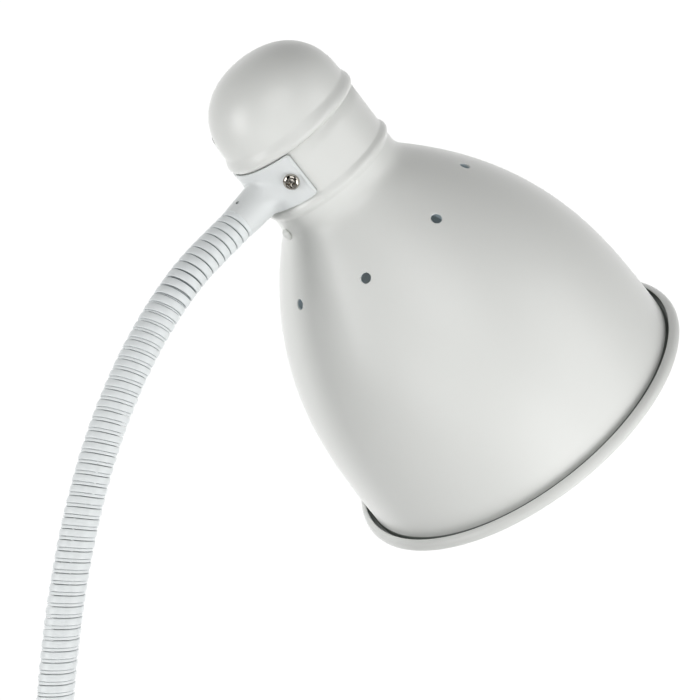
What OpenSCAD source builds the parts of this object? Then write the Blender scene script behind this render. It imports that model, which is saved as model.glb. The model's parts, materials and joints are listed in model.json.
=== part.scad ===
// Clip-on reading lamp: a spun metal shade on a gooseneck, held by a sprung clip.
// Frame: the origin is the centre of the upper jaw pad's underside, where the held board's top lies.
// +X points from the clip towards the lamp head, +Z is up, and y = 0 is the plane of the gooseneck.
// Lengths are in millimetres.

/* [Shade] */
// Outer radius of the turned-up rim
rim_r = 73; // [72:0.5:75]
// Mid-sheet radius of the bell just above the rim
bell_r = 67.7; // [67:0.1:68]
// Length along the axis at which the bell's curve would close
bell_len = 136.2; // [135:0.1:137]
// Exponent of the bell's curve: higher is squarer
bell_power = 2.73; // [2.6:0.01:2.9]
// Thickness of the spun sheet
sheet_t = 0.8; // [0.6:0.1:0.9]
// Number of vent holes round the bell
vent_count = 8; // [4:1:10]
// Diameter of a vent hole
vent_d = 3.9; // [3:0.1:5]
// Height of the vent holes above the rim plane
vent_h = 96; // [90:0.5:100]

/* [Shade neck and rear cap] */
// Outer radius of the cylindrical neck behind the bell
neck_r = 25.9; // [25.8:0.1:26]
// Height of the bead between the waist and the neck
low_bead_h = 124; // [123.8:0.1:124.2]
// Height of the bead at the cap's mouth
cap_bead_h = 146.1; // [146:0.1:146.3]
// Height at which the cap's dome starts
dome_h = 150; // [149.8:0.1:150.2]
// Height of the dome itself
dome_rise = 23.5; // [23:0.1:25]
// Exponent of the dome's curve
dome_power = 2.3; // [2.1:0.05:2.5]

/* [Neck bracket] */
// Height of the bracket's screws and boss above the rim plane
bracket_h = 135.2; // [135.1:0.1:135.3]
// Height of the boss's axis
boss_h = 133.7; // [133.5:0.1:134]
// Half of the angle that the saddle wraps round the neck
saddle_angle = 45.5; // [44:0.5:48]
// Height of the saddle along the neck
saddle_len = 17.4; // [16:0.1:17.4]
// Thickness of the saddle
saddle_t = 1; // [0.8:0.1:1.2]
// Angle of each bracket screw from the boss
screw_angle = 36.2; // [35:0.1:37]
// Distance from the shade's axis to the end of the boss
boss_end = 40.4; // [38:0.1:42]

/* [Gooseneck] */
// Outer radius of the flexible hose
hose_r = 6.1; // [5.9:0.1:6.2]
// Bore radius of the hose, for the lead
hose_bore = 3.2; // [2.8:0.1:3.4]
// Length of one hose segment, from pivot to pivot
seg_len = 28; // [26:0.5:30]
// Number of hose segments
seg_count = 11; // [11:1:11]
// Lean of the hose's top end from upright, in degrees
top_lean = 45.45; // [40:0.05:50]
// Length of hose that is curved, measured back from its top end
curve_len = 260; // [230:5:290]
// Exponent of the curve: higher puts more of the bend near the top
curve_power = 2.35; // [1.9:0.05:2.5]
// Gap between neighbouring segments
seg_gap = 2.2; // [2:0.1:2.4]

/* [Clip] */
// Gap between the closed jaws' pads
jaw_gap = 5; // [4.5:0.1:6]
// Thickness of the jaws' sheet metal
jaw_t = 1.2; // [1:0.1:1.4]
// Thickness of each rubber pad
pad_t = 6.8; // [6:0.1:8]
// Length of each pad, from front to back
pad_len = 28; // [24:1:28]
// Width of the upper jaw
jaw_w = 46; // [44:1:50]
// Distance from the pads' centre to the nose
nose_x = 17; // [16:0.5:20]
// Distance from the pads' centre back to the hinge pin
pivot_back = 42; // [41:0.5:44]
// Distance from the pads' centre back to the handles' ends
handle_back = 92; // [90:1:96]
// Radius of the hinge pin
pin_r = 2; // [1.8:0.1:2.2]

/* [Hidden] */
$fn = 64;

// Colours
white = [0.86, 0.87, 0.86];
cool_white = [0.84, 0.88, 0.90];
steel = [0.72, 0.73, 0.75];
brass = [0.80, 0.66, 0.36];
black = [0.13, 0.13, 0.14];
rubber = [0.22, 0.23, 0.24];

// Shade outline, in radius and height above the rim plane
rim_h = 0.1;
curl_r = 2.6;
rim_flare = 0.45;
waist_r = 25.4;
waist_h = 118;
waist_bend = 8;
bell_end_h = 112.4;
neck_top = 142.6;
spigot_r = 24.6;
spigot_top = 148.6;

// Bracket and its screws
m3_r = 1.45;
boss_bore = 4.6;
saddle_r = neck_r + 0.05;
sunk_r = 2.6;
sunk_h = 0.85;
sunk_seat = saddle_r + 0.05;
grub_turn = 12;
plug_turn = -9;
plug_h = 116.2;

// Lamp holder and bulb, as heights above the rim plane
bridge_h = 140.6;
bridge_t = 1.5;
holder_mouth = 103.5;
holder_split = 128;
holder_r = 17.8;
thread_r = 4.9;
switch_turn = -59;
switch_h = 153.3;
bulb_r = 30;
bulb_centre_h = 50;
bulb_split_h = 60;
bulb_skirt_h = 101;

// Clip
plate_top = pad_t + jaw_t;
plate_low = -jaw_gap - pad_t - jaw_t;
pivot_x = -pivot_back;
pivot_z = -jaw_gap / 2;
lower_w = jaw_w - 2 * jaw_t - 0.6;
ear_r = 7.5;
handle_bend_x = -50;
handle_rise = 4.5;
lower_bend_x = -33;
lower_drop = 25;
grip_t = 1.3;
grip_start_x = -64;
wire_r = 0.9;
coil_r = 5.2;
coil_turns = 8;
coil_pitch = 2;

// Base of the gooseneck
base_x = -25;
collar_r = 11;
collar_top = 32;
outlet_z = 18.5;
hose_start = [base_x, collar_top + 4];

// Lean of hose segment k from upright: none near the clip, the most at the head
function lean(k) =
    let (from_top = (seg_count - 1 - k) * seg_len)
    top_lean * pow(max(0, 1 - from_top / curve_len), curve_power);
// Lower pivot of hose segment k, in x and z
function pivot(k) =
    k == 0 ? hose_start : pivot(k - 1) + seg_len * [sin(lean(k - 1)), cos(lean(k - 1))];

// Centre of the shade's rim plane, in x and z
hose_end = pivot(seg_count);
head_axis = [-cos(top_lean), sin(top_lean)];
rim_centre = hose_end + boss_end * [sin(top_lean), cos(top_lean)] - boss_h * head_axis;

// Outlines: arcs, and a sheet drawn from the line through its middle
function arc(c, r, a0, a1, n) =
    [for (i = [0:n]) let (a = a0 + (a1 - a0) * i / n) c + r * [cos(a), sin(a)]];
function reversed(p) = [for (i = [len(p) - 1:-1:0]) p[i]];
function side_step(p, i) =
    let (d = p[min(i + 1, len(p) - 1)] - p[max(i - 1, 0)]) [d[1], -d[0]] / norm(d);
function beside(p, off) = [for (i = [0:len(p) - 1]) p[i] + off * side_step(p, i)];
function sheet(p, t) = concat(beside(p, t / 2), reversed(beside(p, -t / 2)));
function rounded(w, h, r) = concat(
    arc([w / 2 - r, h / 2 - r], r, 0, 90, 5),
    arc([r - w / 2, h / 2 - r], r, 90, 180, 5),
    arc([r - w / 2, r - h / 2], r, 180, 270, 5),
    arc([w / 2 - r, r - h / 2], r, 270, 360, 5)
);

function bell(h) =
    bell_r * (1 - pow(h / bell_len, bell_power)) + rim_flare * pow(max(0, 1 - h / 24), 1.5);
function bell_slope(h) = atan(bell_r * bell_power / bell_len * pow(h / bell_len, bell_power - 1));
function dome(r, rise) = [
    for (i = [0:14])
        let (a = i * 90 / 14, e = 2 / dome_power)
        [r * pow(cos(a), e), dome_h + rise * pow(sin(a), e)]
];

// A round wire along a list of points; ref is a direction that the wire never runs along
function along(p, i) =
    let (d = p[min(i + 1, len(p) - 1)] - p[max(i - 1, 0)]) d / norm(d);
function ring_at(p, i, r, ref, n) =
    let (t = along(p, i), c = cross(t, ref), u = c / norm(c), v = cross(t, u))
    [for (k = [0:n - 1]) p[i] + r * (cos(360 * k / n) * u + sin(360 * k / n) * v)];
module wire(p, r, ref, n = 8) {
    last = len(p) - 1;
    polyhedron(
        points = [for (i = [0:last]) each ring_at(p, i, r, ref, n)],
        faces = concat(
            [[for (k = [0:n - 1]) k]],
            [for (i = [0:last - 1], k = [0:n - 1])
                [i * n + k, (i + 1) * n + k, (i + 1) * n + (k + 1) % n, i * n + (k + 1) % n]],
            [[for (k = [n - 1:-1:0]) last * n + k]]
        )
    );
}
// Smooth points through the chosen ones, m to each stretch
function smooth(p, m) = concat(
    [for (i = [0:len(p) - 2], j = [0:m - 1])
        let (a = p[max(i - 1, 0)], b = p[i], c = p[i + 1], d = p[min(i + 2, len(p) - 1)], t = j / m)
        0.5 * (2 * b + (c - a) * t + (2 * a - 5 * b + 4 * c - d) * t * t
            + (3 * b - a - 3 * c + d) * t * t * t)],
    [p[len(p) - 1]]
);

// Frames of the moving groups
module at_head() {
    translate([rim_centre[0], 0, rim_centre[1]])
        rotate([0, top_lean - 90, 0])
            rotate([0, 0, 180])
                children();
}
module at_segment(k) {
    translate([pivot(k)[0], 0, pivot(k)[1]])
        rotate([0, lean(k), 0])
            children();
}
// Radial direction at an angle round the shade's axis: z runs outwards
module outward(turn, h) {
    rotate([0, 0, turn])
        translate([0, 0, h])
            rotate([0, 90, 0])
                children();
}
module at_pivot() {
    translate([pivot_x, 0, pivot_z])
        rotate([-90, 0, 0])
            children();
}
module ring(r_out, r_in, h) {
    difference() {
        cylinder(r = r_out, h = h);
        translate([0, 0, -1])
            cylinder(r = r_in, h = h + 2);
    }
}
module cross_recess(size, depth) {
    for (turn = [0, 90])
        rotate([0, 0, turn])
            translate([-size / 2, -size / 10, -depth])
                cube([size, size / 5, depth + 1]);
}

// ---- Clip ----

module side_plate(w) {
    rotate([90, 0, 0])
        linear_extrude(height = w, center = true)
            children();
}
module plan(w, x0, x1, r) {
    translate([(x0 + x1) / 2, 0, -60])
        linear_extrude(height = 100)
            polygon(rounded(x1 - x0, w, r));
}
module upper_side() {
    polygon([
        [nose_x, plate_top], [nose_x, 3], [-30, 1.6], [-35.5, pivot_z], [-48, pivot_z],
        [-49.5, 1], [-80, 4.5], [-86, 10.4], [-handle_back, 11.1],
        [-handle_back, plate_top + handle_rise], [handle_bend_x, plate_top],
    ]);
    translate([pivot_x, pivot_z])
        circle(r = ear_r);
}
module upper_hollow() {
    rise = handle_rise * 50 / (handle_back + handle_bend_x);
    intersection() {
        side_plate(jaw_w)
            polygon([
                [nose_x - jaw_t, plate_top - jaw_t], [nose_x - jaw_t, -30], [-100, -30],
                [-100, plate_top - jaw_t + rise], [handle_bend_x, plate_top - jaw_t],
            ]);
        plan(jaw_w - 2 * jaw_t, -120, nose_x - jaw_t, 7.8);
    }
}
module upper_jaw() {
    color(white)
        difference() {
            intersection() {
                side_plate(jaw_w)
                    upper_side();
                plan(jaw_w, -handle_back, nose_x, 6);
            }
            upper_hollow();
            at_pivot()
                cylinder(r = pin_r + 0.02, h = 2 * jaw_w, center = true);
            translate([base_x, 0, 0])
                cylinder(r = 3.1, h = 20);
        }
}
module lower_side() {
    polygon([
        [nose_x, plate_low], [nose_x, -7.5], [-28, -6.6], [-29.5, plate_top - jaw_t - 0.15],
        [-36, plate_top - jaw_t - 0.15], [-42, pivot_z], [-49, -6], [-84, -28.5], [-86, -33.9],
        [-handle_back, -36.4], [-handle_back, plate_low - lower_drop], [lower_bend_x, plate_low],
    ]);
    translate([pivot_x, pivot_z])
        circle(r = ear_r);
}
module lower_hollow() {
    slope = lower_drop / (handle_back + lower_bend_x);
    lift = jaw_t * sqrt(1 + slope * slope);
    intersection() {
        side_plate(lower_w)
            polygon([
                [nose_x - jaw_t, plate_low + jaw_t], [nose_x - jaw_t, 30], [-100, 30],
                [-100, plate_low + lift - slope * (100 + lower_bend_x)],
                [lower_bend_x, plate_low + jaw_t],
            ]);
        plan(lower_w - 2 * jaw_t, -120, nose_x - jaw_t, 7.8);
    }
}
module lower_jaw() {
    color(white)
        difference() {
            intersection() {
                side_plate(lower_w)
                    lower_side();
                plan(lower_w, -handle_back, nose_x, 6);
            }
            lower_hollow();
            at_pivot()
                cylinder(r = pin_r + 0.06, h = 2 * jaw_w, center = true);
        }
}
module upper_pad() {
    color(rubber)
        linear_extrude(height = pad_t)
            polygon(rounded(pad_len, jaw_w - 2 * jaw_t - 2.6, 5));
}
module lower_pad() {
    color(rubber)
        translate([0, 0, -jaw_gap - pad_t])
            linear_extrude(height = pad_t)
                polygon(rounded(pad_len, lower_w - 2 * jaw_t - 2, 5));
}
// Dipped vinyl sleeve over the end of each handle, open underneath like the channel it covers
module upper_grip() {
    slope = handle_rise / (handle_back + handle_bend_x);
    back = -handle_back - grip_t;
    color(rubber)
        difference() {
            intersection() {
                side_plate(jaw_w + 2 * grip_t)
                    polygon([
                        [grip_start_x, 2.4], [-80, 3.3], [-87, 9.4], [back, 10.2],
                        [back, plate_top + grip_t + slope * (handle_bend_x - back)],
                        [grip_start_x, plate_top + grip_t + slope * (handle_bend_x - grip_start_x)],
                    ]);
                plan(jaw_w + 2 * grip_t, back, nose_x, 7.3);
            }
            intersection() {
                side_plate(jaw_w)
                    polygon([
                        [nose_x, plate_top], [nose_x, -30], [-handle_back, -30],
                        [-handle_back, plate_top + handle_rise], [handle_bend_x, plate_top],
                    ]);
                plan(jaw_w, -handle_back, nose_x, 6);
            }
        }
}
module lower_grip() {
    slope = lower_drop / (handle_back + lower_bend_x);
    back = -handle_back - grip_t;
    lift = grip_t * sqrt(1 + slope * slope);
    color(rubber)
        difference() {
            intersection() {
                side_plate(lower_w + 2 * grip_t)
                    polygon([
                        [grip_start_x, -14.4], [-84, -27.2], [-87, -33], [back, -35.6],
                        [back, plate_low - lift - slope * (lower_bend_x - back)],
                        [grip_start_x, plate_low - lift - slope * (lower_bend_x - grip_start_x)],
                    ]);
                plan(lower_w + 2 * grip_t, back, nose_x, 7.3);
            }
            intersection() {
                side_plate(lower_w)
                    polygon([
                        [nose_x, plate_low], [nose_x, 30], [-handle_back, 30],
                        [-handle_back, plate_low - lower_drop], [lower_bend_x, plate_low],
                    ]);
                plan(lower_w, -handle_back, nose_x, 6);
            }
        }
}
module pivot_pin() {
    half = jaw_w / 2;
    color(steel)
        at_pivot()
            difference() {
                union() {
                    translate([0, 0, -half - 1.7])
                        cylinder(r = 3.6, h = 1.5);
                    translate([0, 0, -half - 0.5])
                        cylinder(r = pin_r, h = 2 * half + 2.6);
                }
                translate([0, 0, half + 0.3])
                    ring(pin_r + 1, pin_r - 0.5, 0.9);
            }
}
module pin_clip() {
    color(steel)
        at_pivot()
            translate([0, 0, jaw_w / 2 + 0.35])
                difference() {
                    ring(4, pin_r - 0.45, 0.8);
                    translate([-1.2, 0, -1])
                        cube([2.4, 6, 3]);
                }
}
// One wire: a leg under the upper handle, eight turns round the pin, a leg on the lower handle
module torsion_spring() {
    half = coil_turns * coil_pitch / 2;
    a0 = 80.5;
    a1 = -57.3 - 360 * coil_turns;
    steps = 20 * coil_turns + 8;
    function on_coil(a, y) =
        [pivot_x + coil_r * cos(a), y, pivot_z + coil_r * sin(a)];
    coil = [
        for (i = [0:steps])
            on_coil(a0 + (a1 - a0) * i / steps, half - 2 * half * i / steps)
    ];
    first = coil[0];
    last = coil[steps];
    color(steel)
        wire(
            concat(
                [first + 34 * [-cos(9.5), 0, sin(9.5)]],
                coil,
                [last + 34 * [sin(a1), 0, -cos(a1)]]
            ),
            wire_r, [0.01, 1, 0.02]
        );
}

// ---- Base of the gooseneck ----

module at_base() {
    translate([base_x, 0, 0])
        children();
}
module base_collar() {
    color(white)
        at_base()
            difference() {
                rotate_extrude()
                    polygon(concat(
                        [[0, plate_top], [collar_r, plate_top]],
                        arc([collar_r - 2.5, collar_top - 2.5], 2.5, 0, 90, 5),
                        [[0, collar_top]]
                    ));
                translate([0, 0, plate_top - 1])
                    cylinder(r = 3, h = 10);
                translate([0, 0, 14])
                    cylinder(r = 7.5, h = 9);
                translate([0, 0, 20])
                    cylinder(r = thread_r + 0.05, h = 20);
                translate([0, 0, outlet_z])
                    rotate([0, -90, 0])
                        cylinder(r = 4.2, h = 20);
                translate([0, 0, 27.5])
                    rotate([-90, 0, 0])
                        cylinder(r = m3_r + 0.05, h = 20);
            }
}
module base_screw() {
    color(steel)
        at_base()
            difference() {
                union() {
                    translate([0, 0, 3.2])
                        cylinder(r = 5.2, h = 2.8);
                    translate([0, 0, 4])
                        cylinder(r = 2.95, h = 9.5);
                }
                translate([0, 0, 2])
                    cylinder(r = 2.3, h = 2.8, $fn = 6);
            }
}
module base_washer() {
    color(steel)
        at_base()
            translate([0, 0, 6])
                ring(6.5, 3.1, 0.8);
}
module base_grub_screw() {
    color(steel)
        at_base()
            translate([0, 0, 27.5])
                rotate([-90, 0, 0])
                    difference() {
                        translate([0, 0, 5])
                            cylinder(r = m3_r, h = 5.2);
                        translate([0, 0, 8.6])
                            cylinder(r = 0.85, h = 3, $fn = 6);
                    }
}
module cord_grommet() {
    color(rubber)
        at_base()
            translate([0, 0, outlet_z])
                rotate([0, -90, 0])
                    difference() {
                        union() {
                            translate([0, 0, 4.9])
                                cylinder(r = 4.5, h = 1);
                            translate([0, 0, 4.9])
                                cylinder(r = 4.15, h = 7);
                            translate([0, 0, collar_r + 0.05])
                                cylinder(r1 = 5.4, r2 = 4.6, h = 1.8);
                        }
                        cylinder(r = 2.6, h = 30);
                    }
}
module hose_bottom_fitting() {
    color(white)
        translate([base_x, 0, collar_top])
            difference() {
                union() {
                    cylinder(r = hose_r + 0.2, h = 4);
                    translate([0, 0, -8.5])
                        cylinder(r = thread_r, h = 9);
                }
                translate([0, 0, -10])
                    cylinder(r = hose_bore, h = 20);
            }
}

// ---- Gooseneck ----

// Banded tube with a ball at its top pivot and a cup at its lower one
module hose_segment(k) {
    bands = 7;
    low = k == 0 ? 0 : seg_gap / 2;
    high = k == seg_count - 1 ? seg_len : seg_len - seg_gap / 2;
    pitch = (high - low) / bands;
    edge = 0.8;
    groove = 0.35;
    outline = concat(
        [[0, low], [hose_r - edge, low], [hose_r, low + edge]],
        [for (i = [1:bands - 1])
            let (z = low + i * pitch)
            each [[hose_r, z - groove], [hose_r - 0.5, z - groove],
                [hose_r - 0.5, z + groove], [hose_r, z + groove]]],
        [[hose_r, high - edge], [hose_r - edge, high], [0, high]]
    );
    color(cool_white)
        at_segment(k)
            difference() {
                union() {
                    rotate_extrude()
                        polygon(outline);
                    if (k < seg_count - 1)
                        translate([0, 0, seg_len])
                            sphere(r = 4.9);
                }
                if (k > 0)
                    sphere(r = 5.05);
                translate([0, 0, -10])
                    cylinder(r = hose_bore, h = seg_len + 20);
            }
}
module hose_top_fitting() {
    color(white)
        translate([hose_end[0], 0, hose_end[1]])
            rotate([0, top_lean, 0])
                difference() {
                    cylinder(r = boss_bore - 0.05, h = 12);
                    translate([0, 0, -1])
                        cylinder(r = hose_bore, h = 20);
                }
}

// ---- Bracket ----

module neck_bracket() {
    color(cool_white)
        at_head()
            difference() {
                union() {
                    intersection() {
                        translate([0, 0, bracket_h - saddle_len / 2])
                            cylinder(r = saddle_r + saddle_t, h = saddle_len);
                        outward(0, bracket_h)
                            linear_extrude(height = 40)
                                polygon(rounded(
                                    saddle_len, 2 * (saddle_r + saddle_t) * sin(saddle_angle), 2
                                ));
                    }
                    outward(0, boss_h)
                        translate([0, 0, 20])
                            cylinder(r1 = 7.4, r2 = 6.2, h = boss_end - 20);
                }
                cylinder(r = saddle_r, h = 200);
                outward(0, boss_h)
                    cylinder(r = boss_bore, h = 60);
                for (turn = [-screw_angle, screw_angle])
                    outward(turn, bracket_h)
                        cylinder(r = m3_r + 0.2, h = 40);
                outward(-screw_angle, bracket_h) {
                    translate([0, 0, sunk_seat])
                        cylinder(r1 = m3_r + 0.2, r2 = sunk_r + 0.2, h = sunk_h);
                    translate([0, 0, sunk_seat + sunk_h])
                        cylinder(r = sunk_r + 0.2, h = 5);
                }
                outward(0, boss_h)
                    translate([0, 0, boss_end - 4.4])
                        rotate([0, -90, 0])
                            rotate([grub_turn, 0, 0])
                                cylinder(r = m3_r + 0.05, h = 20);
            }
}
// A pan-head screw on one side of the boss and a flush countersunk one on the other
module bracket_screws() {
    seat = saddle_r + saddle_t + 0.15;
    color(steel)
        at_head() {
            outward(screw_angle, bracket_h)
                difference() {
                    union() {
                        translate([0, 0, seat])
                            cylinder(r = 2.9, h = 1.1);
                        translate([0, 0, seat + 1.1])
                            cylinder(r1 = 2.9, r2 = 2, h = 0.8);
                        translate([0, 0, 22])
                            cylinder(r = m3_r, h = seat - 21);
                    }
                    translate([0, 0, seat + 1.9])
                        cross_recess(3.2, 1.3);
                }
            outward(-screw_angle, bracket_h)
                difference() {
                    union() {
                        translate([0, 0, 22])
                            cylinder(r = m3_r, h = sunk_seat - 21.9);
                        translate([0, 0, sunk_seat + 0.1])
                            cylinder(r1 = m3_r, r2 = sunk_r, h = sunk_h - 0.1);
                    }
                    translate([0, 0, sunk_seat + sunk_h])
                        cross_recess(3, 0.6);
                }
        }
}
module boss_grub_screw() {
    color(steel)
        at_head()
            outward(0, boss_h)
                translate([0, 0, boss_end - 4.4])
                    rotate([0, -90, 0])
                        rotate([grub_turn, 0, 0])
                            difference() {
                                translate([0, 0, boss_bore])
                                    cylinder(r = m3_r, h = 1.2);
                                translate([0, 0, boss_bore + 0.6])
                                    cylinder(r = 0.8, h = 3, $fn = 6);
                            }
}

// ---- Shade and cap ----

module shade() {
    steps = 16;
    curl = rim_r - sheet_t / 2 - curl_r;
    middle = concat(
        arc([curl, rim_h], curl_r, 78, 0, 6),
        arc([rim_r - sheet_t / 2 - 0.5, rim_h], 0.5, -22.5, -90, 3),
        arc([bell(0) + 0.8, rim_h + 0.3], 0.8, -90, -180, 3),
        [for (i = [0:steps]) let (h = 1.2 + (bell_end_h - 1.2) * i / steps) [bell(h), h]],
        arc([waist_r + waist_bend, waist_h], waist_bend, 218, 180, 4),
        [for (i = [-6:6])
            [waist_r + 0.1 * (i + 6) / 12 + 1.1 * pow(cos(15 * i), 2), low_bead_h + 0.43 * i]],
        [[neck_r - sheet_t / 2, neck_top]],
        [[spigot_r, neck_top + 0.8], [spigot_r, spigot_top]]
    );
    color(white)
        at_head()
            difference() {
                rotate_extrude($fn = 128)
                    polygon(sheet(middle, sheet_t));
                for (i = [0:vent_count - 1])
                    rotate([0, 0, 360 * i / vent_count])
                        translate([bell(vent_h), 0, vent_h])
                            rotate([0, 90 - bell_slope(vent_h), 0])
                                cylinder(d = vent_d, h = 8, center = true);
                outward(0, boss_h)
                    cylinder(r = 4.2, h = 40);
                for (turn = [-screw_angle, screw_angle])
                    outward(turn, bracket_h)
                        cylinder(r = m3_r + 0.2, h = 40);
                outward(plug_turn, plug_h)
                    cylinder(r = 1.6, h = 40);
            }
}
module shade_plug() {
    color(white)
        at_head()
            outward(plug_turn, plug_h) {
                translate([0, 0, 23])
                    cylinder(r = 1.5, h = 5);
                translate([0, 0, 27.15])
                    cylinder(r1 = 2.3, r2 = 1.6, h = 0.9);
            }
}
module rear_cap() {
    bead_c = [neck_r - 0.8, cap_bead_h];
    outer = concat(
        arc(bead_c, 2.1, -90, 0, 5),
        [for (i = [1:6]) [neck_r + 1.3 * pow(cos(15 * i), 2), cap_bead_h + 0.62 * i]],
        dome(neck_r, dome_rise)
    );
    inner = concat(
        arc(bead_c, 1.3, -90, 90, 10),
        [[neck_r - sheet_t, cap_bead_h + 1.6]],
        dome(neck_r - sheet_t, dome_rise - sheet_t)
    );
    color(white)
        at_head()
            difference() {
                rotate_extrude($fn = 96)
                    polygon(concat(outer, reversed(inner)));
                outward(switch_turn, switch_h)
                    cylinder(r = 4.5, h = 40);
            }
}

// ---- Lamp holder ----

module socket_bridge() {
    color(steel)
        at_head()
            difference() {
                union() {
                    translate([0, 0, bridge_h])
                        cylinder(r = 24.9, h = bridge_t);
                    for (turn = [-screw_angle, screw_angle])
                        intersection() {
                            translate([0, 0, 130.6])
                                ring(24.95, 23.7, bridge_h - 130);
                            rotate([0, 0, turn])
                                translate([20, -5, 120])
                                    cube([10, 10, 30]);
                        }
                }
                cylinder(r = thread_r + 0.1, h = 200);
                translate([19, 0, 0])
                    cylinder(r = 3, h = 200);
                for (turn = [-screw_angle, screw_angle])
                    outward(turn, bracket_h)
                        cylinder(r = m3_r + 0.05, h = 40);
            }
}
module holder_nipple() {
    color(brass)
        at_head()
            translate([0, 0, 135.4])
                ring(thread_r, 3.6, 13);
}
module holder_washer() {
    color(steel)
        at_head()
            translate([0, 0, bridge_h + bridge_t])
                ring(8, thread_r + 0.1, 0.6);
}
module holder_nut() {
    color(brass)
        at_head()
            translate([0, 0, bridge_h + bridge_t + 0.6])
                difference() {
                    cylinder(r = 7.6, h = 3, $fn = 6);
                    translate([0, 0, -1])
                        cylinder(r = thread_r + 0.02, h = 5);
                }
}
module holder_cap() {
    color(black)
        at_head()
            difference() {
                rotate_extrude()
                    polygon(concat(
                        [[holder_r - 2.2, holder_split], [holder_r, holder_split]],
                        arc([holder_r - 6, 134], 6, 0, 90, 6),
                        [[9, 140.4], [thread_r + 0.05, 140.4], [thread_r + 0.05, 136.4]],
                        [[8, 137.6]],
                        arc([holder_r - 6.4, 133.6], 4.2, 90, 0, 6)
                    ));
                outward(6, 133)
                    cylinder(r = 2, h = 30);
            }
}
module holder_body() {
    color(black)
        at_head()
            difference() {
                rotate_extrude()
                    polygon([
                        [15, holder_mouth], [holder_r, holder_mouth], [holder_r, holder_split],
                        [0, holder_split], [0, holder_split - 2], [15, holder_split - 2],
                    ]);
                for (x = [-9, 9])
                    translate([x, 0, holder_split - 3])
                        cylinder(r = m3_r + 0.05, h = 5);
            }
}
module holder_shell() {
    color(brass)
        at_head()
            translate([0, 0, holder_mouth + 0.5])
                difference() {
                    cylinder(r = 14, h = 22);
                    translate([0, 0, -1])
                        cylinder(r = 13.5, h = 22.4);
                    cylinder(r = 6, h = 40);
                    for (x = [-9, 9])
                        translate([x, 0, 0])
                            cylinder(r = m3_r + 0.3, h = 40);
                }
}
module holder_contact() {
    color(brass)
        at_head()
            translate([0, 0, 124.7])
                difference() {
                    cylinder(r = 4, h = 1.3);
                    translate([-5, -5, 0.5])
                        cube([7, 10, 0.5]);
                }
}
module terminal_screws() {
    color(brass)
        at_head()
            for (x = [-9, 9])
                translate([x, 0, 0])
                    difference() {
                        union() {
                            translate([0, 0, holder_split - 1.9])
                                cylinder(r = m3_r, h = 3);
                            translate([0, 0, holder_split + 0.6])
                                cylinder(r = 2.6, h = 1.6);
                        }
                        translate([-4, -0.4, holder_split + 1.4])
                            cube([8, 0.8, 2]);
                    }
}

// ---- Switch ----

module switch_body() {
    color(black)
        at_head()
            outward(switch_turn, switch_h)
                difference() {
                    union() {
                        translate([0, 0, 12])
                            linear_extrude(height = 10.5)
                                polygon(rounded(11, 11, 1));
                        translate([0, 0, 22])
                            cylinder(r = 4.4, h = 4.4);
                    }
                    translate([0, 0, 20])
                        cylinder(r = 3.6, h = 10);
                }
}
module switch_nut() {
    color(steel)
        at_head()
            outward(switch_turn, switch_h)
                translate([0, 0, 22.55])
                    ring(5.4, 4.45, 1.1);
}
module switch_button() {
    color(black)
        at_head()
            outward(switch_turn, switch_h) {
                translate([0, 0, 22.4])
                    cylinder(r = 3.5, h = 5.5);
                translate([0, 0, 27.9])
                    cylinder(r1 = 3.5, r2 = 3.1, h = 0.5);
            }
}

// Three insulated leads: feed to switch, switch to holder down the nipple, and return to holder
module lead_wires() {
    feed = [[32, -1.6, boss_h], [26, -1.6, boss_h], [21.5, -1, 135.5], [19.2, 0, 138.9], [19, 0, 143],
        [17.5, -2, 147], [12, 0, 149.6], [7.6, 0, 152], [5.9, -2.6, 153.2], [6.3, -5, 153.3],
        [8.5, -8.5, 153.3]];
    link = [[4.3, -11.2, 153.3], [2.6, -8.4, 153.3], [0.7, -4.6, 154.2], [0.1, -1.4, 154],
        [0, -0.2, 151.8], [0, 0, 148], [0, 0, 138], [-1.2, 0, 134.6], [-5, 0, 133],
        [-8.6, 0, 131.6]];
    back = [[32, 1.6, boss_h], [26, 1.6, boss_h], [22, 1.9, 133.3], [18, 1.9, 133],
        [14, 1.5, 132.8], [9.6, 0, 131.6]];
    color(black)
        at_head()
            for (route = [feed, link, back])
                wire(smooth(route, 3), 1, [0.11, 0.95, 0.31]);
}

// ---- Bulb ----

module bulb_globe() {
    half = acos((bulb_split_h - bulb_centre_h) / bulb_r);
    color([0.95, 0.95, 0.92])
        at_head()
            rotate_extrude($fn = 96)
                polygon(concat(
                    arc([0, bulb_centre_h], bulb_r, 90 - half, -90, 24),
                    arc([0, bulb_centre_h], bulb_r - 1.5, -90, 90 - half, 24)
                ));
}
module bulb_housing() {
    rim = sqrt(bulb_r * bulb_r - pow(bulb_split_h - bulb_centre_h, 2));
    color([0.93, 0.93, 0.92])
        at_head()
            rotate_extrude($fn = 96)
                polygon([
                    [0, bulb_split_h + 0.05], [rim, bulb_split_h + 0.05], [rim + 0.4, 62], [27.6, 68],
                    [25, 75], [20.6, 84], [17, 92], [14.4, 98], [13.6, bulb_skirt_h],
                    [0, bulb_skirt_h],
                ]);
}
module bulb_cap() {
    turns = 5;
    pitch = 3.5;
    color(steel)
        at_head()
            rotate_extrude()
                polygon(concat(
                    [[0, bulb_skirt_h], [12.6, bulb_skirt_h]],
                    [for (i = [0:turns - 1])
                        let (h = bulb_skirt_h + 1.5 + i * pitch)
                        each [[12.4, h], [13, h + 0.9], [13, h + 1.4], [12.4, h + 2.3]]],
                    [[12.2, 120.4], [0, 120.4]]
                ));
}
module bulb_insulator() {
    color(black)
        at_head()
            translate([0, 0, 120.4])
                cylinder(r1 = 11.5, r2 = 5.4, h = 2.8);
}
module bulb_contact() {
    color(brass)
        at_head()
            translate([0, 0, 123.2])
                cylinder(r1 = 4.8, r2 = 3.6, h = 1.2);
}

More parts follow.
